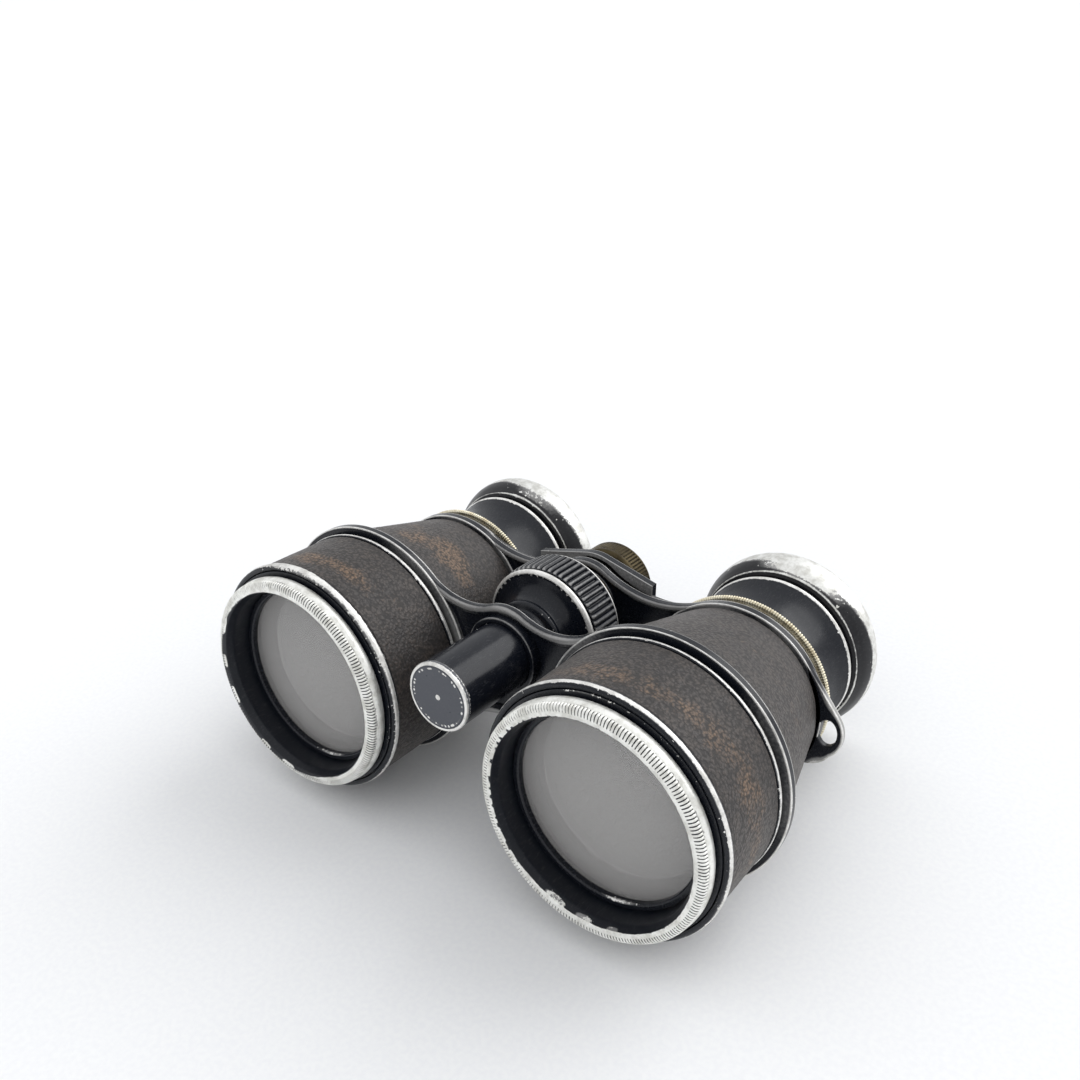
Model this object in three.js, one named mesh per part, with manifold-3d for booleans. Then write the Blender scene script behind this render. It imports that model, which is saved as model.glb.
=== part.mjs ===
// Opera glasses of the Galilean field-glass kind: two fixed barrels joined by a front and a rear
// bridge, a focus wheel on a raised centre column, and a sliding bridge that carries both eyepieces.
//
// Units are millimetres. "Station" means a distance along the optical axes, from the plane of the
// objective lips (0) towards the eyepieces (+Y). Heights are measured from the barrel axes. The
// last lines move everything so that the origin is the centre of the bounding box's underside.
import * as THREE from 'three';
import { mergeVertices } from 'three/addons/utils/BufferGeometryUtils.js';
import Module from 'manifold-3d';

const wasm = await Module();
wasm.setup();

// ---- driving dimensions ----

const BARREL_SPACING = 62;
const COLUMN_HEIGHT = 8.05;
const OVERALL_LENGTH = 70;
const FIT = 0.15;
const REACH = 3; // how far a cutting tool stands out of the faces it cuts

const OUTER_SIDES = 28;
const INNER_SIDES = 20;
const COLUMN_SIDES = 20;
const ARC_STEP = THREE.MathUtils.degToRad(11.25);
const LENS_STEPS = 3;

const CELL = {
  lipFlatOuter: 19.1, lip: 19.6, lipRear: 0.5, dip: 19.35, dipStation: 1.15,
  band: 19.7, bandCrest: 2.0, bandRear: 3.2, bandRearRadius: 19.3,
  opening: 17.56, wall: 17.0, bevelEnd: 1.5,
  spigot: 18.3, rear: 12.2, shoulder: 15.2, lensSeat: 10.85,
};
const OBJECTIVE = {
  radius: 16.7, rim: 6.2, crownEdge: 1.2, frontCurve: 62, jointCurve: 70, flintWaist: 1.2,
};
const CEMENT = 0.06;
const OBJECTIVE_RING = { front: 4.7, rear: 5.8, inner: 15.9 };

const SHELL = { front: 3.45, radius: 20.2, wall: 0.9, mouth: 18.45, mouthRear: 12.9 };
const CONE = { front: 22.6, rear: 44.7, frontRadius: 20.2, rearRadius: 15.15, innerRear: 15.3 };
const NECK = { radius: 15.1, front: 44.8, rear: 46.4, bore: 14.3, boreFront: 39.6 };
const FRONT_TRIM = { front: 3.4, rear: 4.9, radius: 21.45, crest: 4.0, round: 0.5, taper: 0.15 };
const MIDDLE_TRIM = { front: 19.4, rear: 20.6, radius: 21.35, crest: 19.9, round: 0.2, taper: 0.6 };
const LEATHER = { thickness: 0.75, glueLine: 0.12, endGap: 0.1 };

const FRONT_BRIDGE = {
  front: 20.9, rear: 22.3, sunk: 21.7, web: 23.4, ring: 22.4, hump: 8.7, fillet: 13, underFillet: 14,
  rim: 1.9, boss: 7.0, bossFront: 19.7, webClearance: 21.4,
};
const REAR_BRIDGE = {
  front: 45.0, rear: 46.6, sunk: 45.7, ring: 16.6, hump: 8.2, fillet: 20, underFillet: 22,
  rim: 1.4, boss: 6.6,
};
const LUG = {
  radius: 5.8, out: 14.9, down: 1.4, rear: 46.2,
  holeOut: 17.9, holeDown: 1.3, holeWidth: 3.4, holeHeight: 5.0, holeSides: 16,
};

const TUBE = { radius: 6.0, bore: 5.2, front: 4.45, rear: 22.0, seat: 22.1 };
const CAP = { front: 3.6, radius: 6.08, edge: 0.25, flangeRear: 4.4, spigotRear: 6.6, dimple: 0.5 };
const JOURNAL = { radius: 4.75, front: 22.4, rear: 46.4 };
const WHEEL = {
  frontShoulder: 24.0, neck: 5.6, neckRear: 26.7,
  collar: 6.95, collarStation: 27.7, collarRear: 28.6, collarRearRadius: 6.65,
  flare: 7.95, flareStation: 30.3, face: 10.75, faceStation: 31.1,
  rim: 11.25, rimFront: 31.3, rimRear: 31.9,
  core: 9.5, coreRear: 39.5, coneRear: 41.0, rearShoulder: 44.4,
};
const DRUM = { front: 32.4, rear: 39.3, radius: 11.5, flutes: 60, fluteDepth: 0.35 };
const WASHER = { radius: 6.5, thickness: 0.3 };
const NUT = { radius: 3.8, front: 28, rear: 42 };
const SPINDLE = { radius: 3.0, front: 6.8, rear: 54.4 };
const STOP = { radius: 5.0, length: 1.2 };
const KNOB = {
  front: 49.8, neck: 5.6, neckRear: 51.0, radius: 7.6, rimFront: 52.2, rimRear: 56.4,
  dome: 4.6, domeStation: 57.05, rear: 57.4,
};
const PIN = { radius: 0.4, bottom: 1.75, top: 12.6, station: 48.8, sides: 12 };

const SLIDING_BRIDGE = {
  front: 48.0, rear: 48.5, ring: 15.4, hump: 7.9, fillet: 20, underFillet: 22,
  blockHalfWidth: 12.5, blockHump: 8.5, blockShoulder: 13.6, blockBottom: 1.5, blockRear: 49.6,
};
const DRAW_TUBE = { radius: 12.6, wall: 0.8, front: 27, rear: 51.6 };
const BUSH = { front: 39.7, rear: 46.3 };
const KNURLED_RING = { front: 48.65, rear: 49.65, radius: 16.4, round: 0.2 };
const BELL = {
  front: 49.8, mouth: 13.45, waist: 12.95, waistFront: 53, waistRear: 56.2, waistRearRadius: 13.25,
  flare: 13.95, flareStation: 59, bead: 15.2, beadStation: 61.7,
  groove: 14.3, grooveFront: 62.3, rear: 62.7,
  socketRear: 51.75, bore: 11.3, boreRear: 54.4, aperture: 9.5,
  lensBore: 10.7, lensShoulder: 56.0, cupBore: 12.7, cupBoreFront: 60.45,
};
const OCULAR = { radius: 10.5, front: 56.1, rear: 59.4, curve: 32, opticRadius: 9.3 };
const OCULAR_RING = { front: 59.5, rear: 60.3 };
const EYECUP = {
  spigot: 12.5, spigotFront: 60.65, front: 62.95, frontRadius: 14.9, edge: 15.7, edgeStation: 63.35,
  shoulder: 16.8, shoulderStation: 64.95, radius: 17.4, widest: 67.8, rearRadius: 16.4,
  dishMouth: 15.2, dishMiddle: 12.8, dishMiddleStation: 66.6, hole: 9.6, holeRear: 64.6,
};

// ---- materials ----

const material = (color, roughness, metalness) =>
  new THREE.MeshStandardMaterial({ color, roughness, metalness });
const blackLacquer = () => material(0x16171b, 0.25, 0.3);
const wornAluminium = () => material(0xc9c9c4, 0.4, 0.9);
const paleBrass = () => material(0xb9a87c, 0.4, 0.9);
const brass = () => material(0xa9853f, 0.4, 0.9);
const steel = () => material(0x8f9194, 0.35, 0.9);
const leather = () => material(0x3b322c, 0.75, 0);
const cupEnamel = () => material(0x1b1a1c, 0.35, 0.3);

function glass() {
  const clear = material(0xbfc6c8, 0.05, 0);
  clear.transparent = true;
  clear.opacity = 0.4;
  return clear;
}

// ---- shape helpers ----

// A solid of revolution about +Y from [radius, station] pairs. A profile that touches the axis at
// both ends is left open there, and any other is closed on itself.
function turned(pairs, sides) {
  const profile = pairs.map(([radius, station]) => new THREE.Vector2(radius, station));
  if (THREE.ShapeUtils.area(profile) < 0) profile.reverse();
  const endsOnAxis = profile[0].x === 0 && profile.at(-1).x === 0;
  if (!endsOnAxis) profile.push(profile[0].clone());
  return new THREE.LatheGeometry(profile, sides);
}

const ringOf = (inner, outer, front, rear, sides) =>
  turned([[inner, front], [outer, front], [outer, rear], [inner, rear]], sides);

// [radius, station] pairs from the axis to the rim of a spherical lens face. `curve` is the radius
// of the sphere, and `bulge` is 1 for a face that bulges to the rear and -1 for one to the front.
function lensCurve(radius, rimStation, curve, bulge) {
  const centre = rimStation - bulge * Math.sqrt(curve ** 2 - radius ** 2);
  return Array.from({ length: LENS_STEPS + 1 }, (_, i) => {
    const r = radius * i / LENS_STEPS;
    return [r, centre + bulge * Math.sqrt(curve ** 2 - r ** 2)];
  });
}

// Points along an arc: its two ends, and every whole multiple of ARC_STEP between them, so that a
// ring outline always holds its own highest, lowest and outermost points.
function arc(centre, radius, from, to) {
  const low = Math.min(from, to);
  const high = Math.max(from, to);
  const angles = [low];
  for (let step = Math.ceil(low / ARC_STEP); step * ARC_STEP < high; step += 1) {
    angles.push(step * ARC_STEP);
  }
  angles.push(high);
  if (to < from) angles.reverse();
  return angles.map((angle) =>
    new THREE.Vector2(centre.x + radius * Math.cos(angle), centre.y + radius * Math.sin(angle)));
}

const angleFrom = (from, to) => Math.atan2(to.y - from.y, to.x - from.x);

// Drops points that repeat their neighbour, so that an outline has no zero-length edge.
const distinct = (points) =>
  points.filter((point, i) => point.distanceTo(points[(i + 1) % points.length]) > 1e-3);

// The centre of a circle of the given radius that touches two circles from outside, on the side of
// the line from a to b that `side` chooses.
function filletCentre(a, radiusA, b, radiusB, radius, side) {
  const reachA = radiusA + radius;
  const reachB = radiusB + radius;
  const span = a.distanceTo(b);
  const along = (reachA ** 2 - reachB ** 2 + span ** 2) / (2 * span);
  const across = Math.sqrt(reachA ** 2 - along ** 2) * side;
  const unit = b.clone().sub(a).divideScalar(span);
  const normal = new THREE.Vector2(-unit.y, unit.x);
  return a.clone().addScaledVector(unit, along).addScaledVector(normal, across);
}

// A plate outlined in X and Z, from one station to another.
function plate(points, front, rear) {
  const geometry = new THREE.ExtrudeGeometry(new THREE.Shape(distinct(points)), {
    depth: rear - front,
    bevelEnabled: false,
  });
  return geometry.rotateX(Math.PI / 2).translate(0, rear, 0);
}

function rod(radius, front, rear, x, z, sides) {
  const geometry = new THREE.CylinderGeometry(radius, radius, rear - front, sides);
  return geometry.translate(x, (front + rear) / 2, z);
}

function toSolid(geometry) {
  const bare = geometry.clone();
  bare.deleteAttribute('normal');
  bare.deleteAttribute('uv');
  const merged = mergeVertices(bare, 1e-4);
  const vertProperties = Float32Array.from(merged.attributes.position.array);
  const triVerts = Uint32Array.from(merged.index.array);
  return new wasm.Manifold(new wasm.Mesh({ numProp: 3, vertProperties, triVerts }));
}

function toGeometry(solid) {
  const mesh = solid.getMesh();
  const geometry = new THREE.BufferGeometry();
  geometry.setAttribute('position', new THREE.BufferAttribute(mesh.vertProperties, 3));
  geometry.setIndex(new THREE.BufferAttribute(mesh.triVerts, 1));
  geometry.computeVertexNormals();
  return geometry;
}

const cut = (solid, ...tools) => tools.reduce((rest, tool) => rest.subtract(toSolid(tool)), solid);
const join = (solid, ...pieces) => pieces.reduce((whole, piece) => whole.add(toSolid(piece)), solid);

// ---- barrel: objective end ----

function objectiveCell() {
  const c = CELL;
  return turned([
    [c.opening, 0],
    [c.lipFlatOuter, 0],
    [c.lip, c.lipRear],
    [c.dip, c.dipStation],
    [c.band, c.bandCrest],
    [c.bandRearRadius, c.bandRear],
    [c.spigot, c.bandRear],
    [c.spigot, c.rear],
    [c.shoulder, c.rear],
    [c.shoulder, c.lensSeat],
    [c.wall, c.lensSeat],
    [c.wall, c.bevelEnd],
  ], OUTER_SIDES);
}

function objectiveRing() {
  const r = OBJECTIVE_RING;
  return ringOf(r.inner, OBJECTIVE.radius, r.front, r.rear, OUTER_SIDES);
}

function objectiveFrontLens() {
  const o = OBJECTIVE;
  const front = lensCurve(o.radius, o.rim, o.frontCurve, -1);
  const back = lensCurve(o.radius, o.rim + o.crownEdge, o.jointCurve, 1);
  return turned([...front, ...back.reverse()], OUTER_SIDES);
}

function objectiveRearLens() {
  const o = OBJECTIVE;
  const rim = o.rim + o.crownEdge + CEMENT;
  const front = lensCurve(o.radius, rim, o.jointCurve, 1);
  const back = front[0][1] + o.flintWaist;
  return turned([...front, [o.radius, back], [0, back]], OUTER_SIDES);
}

// ---- barrel: body ----

function barrelShell() {
  const s = SHELL;
  return turned([
    [s.mouth, s.front],
    [s.radius, s.front],
    [CONE.frontRadius, CONE.front],
    [CONE.rearRadius, CONE.rear],
    [NECK.radius, NECK.front],
    [NECK.radius, NECK.rear],
    [NECK.bore, NECK.rear],
    [NECK.bore, NECK.boreFront],
    [CONE.innerRear, NECK.boreFront],
    [s.radius - s.wall, CONE.front],
    [s.radius - s.wall, s.mouthRear],
    [s.mouth, s.mouthRear],
  ], OUTER_SIDES);
}

// A half-round bead round the barrel.
function trimRing(trim) {
  const bore = SHELL.radius + FIT;
  return turned([
    [bore, trim.front],
    [trim.radius - trim.round, trim.front],
    [trim.radius, trim.crest],
    [trim.radius - trim.taper, trim.rear],
    [bore, trim.rear],
  ], OUTER_SIDES);
}

// A leather covering glued round the barrel, straight or tapering from one radius to the other.
function covering(front, frontRadius, rear, rearRadius) {
  const inner = LEATHER.glueLine;
  const outer = inner + LEATHER.thickness;
  return turned([
    [frontRadius + inner, front + LEATHER.endGap],
    [frontRadius + outer, front + LEATHER.endGap],
    [rearRadius + outer, rear - LEATHER.endGap],
    [rearRadius + inner, rear - LEATHER.endGap],
  ], OUTER_SIDES);
}

const frontLeather = () => covering(FRONT_TRIM.rear, SHELL.radius, MIDDLE_TRIM.front, SHELL.radius);
const rearLeather = () => covering(CONE.front, CONE.frontRadius, CONE.rear, CONE.rearRadius);

const guideBush = () =>
  ringOf(DRAW_TUBE.radius + FIT, NECK.bore - FIT, BUSH.front, BUSH.rear, INNER_SIDES);

// ---- bridges ----

const SIDE = BARREL_SPACING / 2;
const columnCentre = new THREE.Vector2(0, COLUMN_HEIGHT);
const barrelCentre = new THREE.Vector2(SIDE, 0);

// The right half of a bridge outline, from the lowest point between the barrels round the ring to
// the top of the hump. `inset` moves the whole outline inwards.
function halfOutline(bridge, inset) {
  const ring = bridge.ring - inset;
  const hump = bridge.hump - inset;
  const fillet = bridge.fillet + inset;
  const under = bridge.underFillet + inset;
  const top = filletCentre(columnCentre, hump, barrelCentre, ring, fillet, 1);
  const mirrored = new THREE.Vector2(-SIDE, 0);
  const below = filletCentre(mirrored, ring, barrelCentre, ring, under, -1);
  const underAngle = angleFrom(barrelCentre, below);
  const topAngle = angleFrom(barrelCentre, top);
  const humpAngle = angleFrom(columnCentre, top);
  return [
    ...arc(below, under, Math.PI / 2, angleFrom(below, barrelCentre)),
    ...arc(barrelCentre, ring, underAngle, topAngle),
    ...arc(top, fillet, angleFrom(top, barrelCentre), angleFrom(top, columnCentre)),
    ...arc(columnCentre, hump, humpAngle, Math.PI / 2),
  ];
}

function bridgeOutline(bridge, inset = 0) {
  const half = halfOutline(bridge, inset);
  const mirroredHalf = half.map((point) => new THREE.Vector2(-point.x, point.y)).reverse();
  return [...half, ...mirroredHalf];
}

// A slab between the barrels, inside the bridge's rim, clear of a circle round each barrel.
function betweenBarrels(bridge, clearance, front, rear) {
  const slab = toSolid(plate(bridgeOutline(bridge, bridge.rim), front, rear));
  const barrel = (x) => rod(clearance, front - REACH, rear + REACH, x, 0, OUTER_SIDES);
  return cut(slab, barrel(SIDE), barrel(-SIDE));
}

// The bridge plate with its front face sunk between the collars, the rim and the middle boss.
function sunkPlate(bridge) {
  const bossFront = bridge.front - 2 * REACH;
  const boss = rod(bridge.boss, bossFront, bridge.rear, 0, COLUMN_HEIGHT, COLUMN_SIDES);
  const hollow = cut(betweenBarrels(bridge, bridge.ring, bridge.front - REACH, bridge.sunk), boss);
  return toSolid(plate(bridgeOutline(bridge), bridge.front, bridge.rear)).subtract(hollow);
}

const throughBore = (bridge, radius, x, z, sides) =>
  rod(radius, bridge.front - REACH, bridge.rear + REACH, x, z, sides);

function frontBridge() {
  const b = FRONT_BRIDGE;
  const boss = rod(b.boss, b.bossFront, b.rear, 0, COLUMN_HEIGHT, COLUMN_SIDES);
  const body = join(sunkPlate(b).add(betweenBarrels(b, b.webClearance, b.sunk, b.web)), boss);
  const barrelBore = SHELL.radius + FIT;
  return toGeometry(cut(
    body,
    throughBore(b, barrelBore, SIDE, 0, OUTER_SIDES),
    throughBore(b, barrelBore, -SIDE, 0, OUTER_SIDES),
    throughBore(b, JOURNAL.radius + FIT, 0, COLUMN_HEIGHT, COLUMN_SIDES),
    rod(TUBE.radius + FIT, b.bossFront - REACH, TUBE.seat, 0, COLUMN_HEIGHT, COLUMN_SIDES),
  ));
}

// A rounded ear on the outer side of a rear collar, for a neck strap.
function lugOutline(sign) {
  const ear = new THREE.Vector2(LUG.out, -LUG.down);
  const ring = new THREE.Vector2(0, 0);
  const span = ear.length();
  const tilt = Math.acos((REAR_BRIDGE.ring - LUG.radius) / span);
  const upper = angleFrom(ring, ear) + tilt;
  const points = [
    new THREE.Vector2(0, 0),
    ...arc(ear, LUG.radius, -Math.PI / 2, upper),
    new THREE.Vector2(REAR_BRIDGE.ring * Math.cos(upper), REAR_BRIDGE.ring * Math.sin(upper)),
  ];
  const placed = points.map((point) => new THREE.Vector2(sign * (point.x + SIDE), point.y));
  return sign > 0 ? placed : placed.reverse();
}

function lugHole(sign) {
  const hole = throughBore(REAR_BRIDGE, LUG.holeWidth / 2, 0, 0, LUG.holeSides);
  hole.scale(1, 1, LUG.holeHeight / LUG.holeWidth);
  return hole.translate(sign * (SIDE + LUG.holeOut), 0, -LUG.holeDown);
}

function rearBridge() {
  const b = REAR_BRIDGE;
  const body = join(
    sunkPlate(b),
    plate(lugOutline(1), b.front, LUG.rear),
    plate(lugOutline(-1), b.front, LUG.rear),
  );
  const neckBore = NECK.radius + FIT;
  return toGeometry(cut(
    body,
    throughBore(b, neckBore, SIDE, 0, OUTER_SIDES),
    throughBore(b, neckBore, -SIDE, 0, OUTER_SIDES),
    throughBore(b, JOURNAL.radius + FIT, 0, COLUMN_HEIGHT, COLUMN_SIDES),
    lugHole(1),
    lugHole(-1),
  ));
}

// The thick middle of the sliding bridge, which holds the spindle.
function slidingBlockOutline() {
  const s = SLIDING_BRIDGE;
  const corner = new THREE.Vector2(s.blockHalfWidth, s.blockShoulder);
  const reach = corner.distanceTo(columnCentre);
  const tangent = angleFrom(columnCentre, corner) + Math.acos(s.blockHump / reach);
  const half = [
    new THREE.Vector2(s.blockHalfWidth, s.blockBottom),
    corner,
    ...arc(columnCentre, s.blockHump, tangent, Math.PI / 2),
  ];
  return [...half, ...half.map((point) => new THREE.Vector2(-point.x, point.y)).reverse()];
}

// A round rod or cutter across the spindle, where the cross pin goes.
function crossRod(radius, bottom, top) {
  const geometry = new THREE.CylinderGeometry(radius, radius, top - bottom, PIN.sides);
  return geometry.rotateX(Math.PI / 2).translate(0, PIN.station, (top + bottom) / 2);
}

function slidingBridge() {
  const s = SLIDING_BRIDGE;
  const wings = toSolid(plate(bridgeOutline(s), s.front, s.rear));
  const body = join(wings, plate(slidingBlockOutline(), s.front, s.blockRear));
  const tubeBore = DRAW_TUBE.radius + FIT;
  return toGeometry(cut(
    body,
    throughBore(s, tubeBore, SIDE, 0, INNER_SIDES),
    throughBore(s, tubeBore, -SIDE, 0, INNER_SIDES),
    throughBore(s, SPINDLE.radius + FIT, 0, COLUMN_HEIGHT, COLUMN_SIDES),
    crossRod(PIN.radius + FIT, s.blockBottom - REACH, PIN.top + FIT),
  ));
}

// ---- centre column: stations on its own axis ----

const centreTube = () => ringOf(TUBE.bore, TUBE.radius, TUBE.front, TUBE.rear, COLUMN_SIDES);

function centreTubeCap() {
  const c = CAP;
  return turned([
    [0, c.front + c.dimple],
    [c.dimple, c.front],
    [c.radius - c.edge, c.front],
    [c.radius, c.front + c.edge],
    [c.radius, c.flangeRear],
    [TUBE.bore - FIT, c.flangeRear],
    [TUBE.bore - FIT, c.spigotRear],
    [0, c.spigotRear],
  ], COLUMN_SIDES);
}

function wheelHub() {
  const w = WHEEL;
  const bore = NUT.radius + FIT;
  return turned([
    [bore, JOURNAL.front],
    [JOURNAL.radius, JOURNAL.front],
    [JOURNAL.radius, w.frontShoulder],
    [w.neck, w.frontShoulder],
    [w.neck, w.neckRear],
    [w.collar, w.collarStation],
    [w.collarRearRadius, w.collarRear],
    [w.flare, w.flareStation],
    [w.face, w.faceStation],
    [w.rim, w.rimFront],
    [w.rim, w.rimRear],
    [w.core, w.rimRear],
    [w.core, w.coreRear],
    [w.neck, w.coneRear],
    [w.neck, w.rearShoulder],
    [JOURNAL.radius, w.rearShoulder],
    [JOURNAL.radius, JOURNAL.rear],
    [bore, JOURNAL.rear],
  ], COLUMN_SIDES);
}

// A drum with rounded flutes parallel to its axis.
function wheelDrum() {
  const pitch = 2 * Math.PI / DRUM.flutes;
  const outline = Array.from({ length: DRUM.flutes * 2 }, (_, i) => {
    const radius = DRUM.radius - (i % 2 ? DRUM.fluteDepth : 0);
    const angle = i * pitch / 2;
    return new THREE.Vector2(radius * Math.cos(angle), radius * Math.sin(angle));
  });
  const bore = WHEEL.core + FIT;
  return toGeometry(cut(
    toSolid(plate(outline, DRUM.front, DRUM.rear)),
    rod(bore, DRUM.front - REACH, DRUM.rear + REACH, 0, 0, COLUMN_SIDES),
  ));
}

const focusNut = () => ringOf(SPINDLE.radius + FIT, NUT.radius, NUT.front, NUT.rear, COLUMN_SIDES);

const thrustWasher = (front) =>
  ringOf(JOURNAL.radius + FIT, WASHER.radius, front, front + WASHER.thickness, COLUMN_SIDES);

const frontWasherStation = (FRONT_BRIDGE.web + WHEEL.frontShoulder - WASHER.thickness) / 2;
const rearWasherStation = (REAR_BRIDGE.front + WHEEL.rearShoulder - WASHER.thickness) / 2;

function focusSpindle() {
  const shaft = rod(SPINDLE.radius, SPINDLE.front, SPINDLE.rear, 0, 0, COLUMN_SIDES);
  const reach = SPINDLE.radius + REACH;
  return toGeometry(cut(toSolid(shaft), crossRod(PIN.radius + FIT, -reach, reach)));
}

const spindleStop = () =>
  ringOf(SPINDLE.radius + FIT, STOP.radius, SPINDLE.front, SPINDLE.front + STOP.length, COLUMN_SIDES);

function spindleKnob() {
  const k = KNOB;
  const bore = SPINDLE.radius + FIT;
  return turned([
    [0, SPINDLE.rear + FIT],
    [bore, SPINDLE.rear + FIT],
    [bore, k.front],
    [k.neck, k.front],
    [k.neck, k.neckRear],
    [k.radius, k.rimFront],
    [k.radius, k.rimRear],
    [k.dome, k.domeStation],
    [0, k.rear],
  ], COLUMN_SIDES);
}

// ---- eyepieces ----

function drawTube() {
  const d = DRAW_TUBE;
  return ringOf(d.radius - d.wall, d.radius, d.front, d.rear, INNER_SIDES);
}

function knurledRing() {
  const k = KNURLED_RING;
  const bore = DRAW_TUBE.radius + FIT;
  return turned([
    [bore, k.front],
    [k.radius - k.round, k.front],
    [k.radius, (k.front + k.rear) / 2],
    [k.radius - k.round, k.rear],
    [bore, k.rear],
  ], OUTER_SIDES);
}

function eyepieceBell() {
  const b = BELL;
  return turned([
    [DRAW_TUBE.radius + FIT, b.front],
    [b.mouth, b.front],
    [b.waist, b.waistFront],
    [b.waistRearRadius, b.waistRear],
    [b.flare, b.flareStation],
    [b.bead, b.beadStation],
    [b.groove, b.grooveFront],
    [b.groove, b.rear],
    [b.cupBore, b.rear],
    [b.cupBore, b.cupBoreFront],
    [b.lensBore, b.cupBoreFront],
    [b.lensBore, b.lensShoulder],
    [b.aperture, b.lensShoulder],
    [b.bore, b.boreRear],
    [b.bore, b.socketRear],
    [DRAW_TUBE.radius + FIT, b.socketRear],
  ], OUTER_SIDES);
}

function ocularLens() {
  const o = OCULAR;
  const front = lensCurve(o.opticRadius, o.front, o.curve, 1);
  const back = lensCurve(o.opticRadius, o.rear, o.curve, -1);
  return turned([...front, [o.radius, o.front], [o.radius, o.rear], ...back.reverse()], INNER_SIDES);
}

const ocularRing = () =>
  ringOf(OCULAR.opticRadius, OCULAR.radius, OCULAR_RING.front, OCULAR_RING.rear, INNER_SIDES);

function eyecup() {
  const e = EYECUP;
  return turned([
    [e.hole, e.spigotFront],
    [e.spigot, e.spigotFront],
    [e.spigot, e.front],
    [e.frontRadius, e.front],
    [e.edge, e.edgeStation],
    [e.shoulder, e.shoulderStation],
    [e.radius, e.widest],
    [e.rearRadius, OVERALL_LENGTH],
    [e.dishMouth, OVERALL_LENGTH],
    [e.dishMiddle, e.dishMiddleStation],
    [e.hole, e.holeRear],
  ], OUTER_SIDES);
}

// ---- assembly ----

const glasses = new THREE.Group();

function add(parent, name, geometry, finish) {
  const mesh = new THREE.Mesh(geometry, finish);
  mesh.name = name;
  parent.add(mesh);
}

// The sides are named as the user sees them: looking from the eyepieces, left is +X.
const sides = [['left', SIDE], ['right', -SIDE]];

for (const [side, x] of sides) {
  const barrel = new THREE.Group();
  barrel.position.x = x;
  add(barrel, `objective_cell_${side}`, objectiveCell(), wornAluminium());
  add(barrel, `objective_retaining_ring_${side}`, objectiveRing(), blackLacquer());
  add(barrel, `objective_front_lens_${side}`, objectiveFrontLens(), glass());
  add(barrel, `objective_rear_lens_${side}`, objectiveRearLens(), glass());
  add(barrel, `barrel_shell_${side}`, barrelShell(), blackLacquer());
  add(barrel, `front_trim_ring_${side}`, trimRing(FRONT_TRIM), blackLacquer());
  add(barrel, `middle_trim_ring_${side}`, trimRing(MIDDLE_TRIM), blackLacquer());
  add(barrel, `front_leather_${side}`, frontLeather(), leather());
  add(barrel, `rear_leather_${side}`, rearLeather(), leather());
  add(barrel, `draw_tube_bush_${side}`, guideBush(), brass());
  add(barrel, `draw_tube_${side}`, drawTube(), steel());
  add(barrel, `eyepiece_knurled_ring_${side}`, knurledRing(), paleBrass());
  add(barrel, `eyepiece_bell_${side}`, eyepieceBell(), blackLacquer());
  add(barrel, `ocular_lens_${side}`, ocularLens(), glass());
  add(barrel, `ocular_retaining_ring_${side}`, ocularRing(), blackLacquer());
  add(barrel, `eyecup_${side}`, eyecup(), cupEnamel());
  glasses.add(barrel);
}

add(glasses, 'front_bridge', frontBridge(), blackLacquer());
add(glasses, 'rear_bridge', rearBridge(), blackLacquer());
add(glasses, 'sliding_bridge', slidingBridge(), blackLacquer());

const column = new THREE.Group();
column.position.z = COLUMN_HEIGHT;
add(column, 'centre_tube', centreTube(), blackLacquer());
add(column, 'centre_tube_cap', centreTubeCap(), blackLacquer());
add(column, 'focus_wheel_hub', wheelHub(), blackLacquer());
add(column, 'focus_wheel_drum', wheelDrum(), blackLacquer());
add(column, 'focus_nut', focusNut(), brass());
add(column, 'front_thrust_washer', thrustWasher(frontWasherStation), brass());
add(column, 'rear_thrust_washer', thrustWasher(rearWasherStation), brass());
add(column, 'focus_spindle', focusSpindle(), steel());
add(column, 'spindle_stop_collar', spindleStop(), brass());
add(column, 'spindle_knob', spindleKnob(), brass());
glasses.add(column);
add(glasses, 'spindle_cross_pin', crossRod(PIN.radius, PIN.bottom, PIN.top), steel());

glasses.position.set(0, -OVERALL_LENGTH / 2, FRONT_BRIDGE.ring);

const root = new THREE.Group();
root.add(glasses);

export default root;
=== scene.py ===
# Looks for the opera glasses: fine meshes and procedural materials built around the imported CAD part.
# Lengths are in millimetres and "station" is the distance behind the objective lips, until `place`
# turns a mesh into metres in the row frame. Positions come from the CAD boxes.
import math
import random

import bpy
import numpy as np
from mathutils import Matrix, Vector, noise
from mathutils.geometry import tessellate_polygon

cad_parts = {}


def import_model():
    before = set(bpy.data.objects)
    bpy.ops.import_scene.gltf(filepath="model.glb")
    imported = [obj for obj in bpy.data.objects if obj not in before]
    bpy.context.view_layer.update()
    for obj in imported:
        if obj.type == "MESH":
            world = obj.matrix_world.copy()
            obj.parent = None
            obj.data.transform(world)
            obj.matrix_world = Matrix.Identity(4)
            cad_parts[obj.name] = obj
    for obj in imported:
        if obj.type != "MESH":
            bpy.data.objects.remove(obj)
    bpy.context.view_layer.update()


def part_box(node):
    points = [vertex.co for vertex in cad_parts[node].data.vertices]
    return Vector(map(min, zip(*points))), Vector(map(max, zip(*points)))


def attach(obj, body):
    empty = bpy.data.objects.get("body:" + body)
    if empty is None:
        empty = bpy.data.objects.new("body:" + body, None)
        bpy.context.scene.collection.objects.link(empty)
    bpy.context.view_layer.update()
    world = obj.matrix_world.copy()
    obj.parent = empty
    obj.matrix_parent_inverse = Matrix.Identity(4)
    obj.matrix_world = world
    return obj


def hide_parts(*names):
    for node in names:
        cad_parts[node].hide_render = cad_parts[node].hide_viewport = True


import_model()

MM = 0.001
TAU = 2 * math.pi


def centre(node):
    low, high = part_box(node)
    return (low + high) / (2 * MM)


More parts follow.
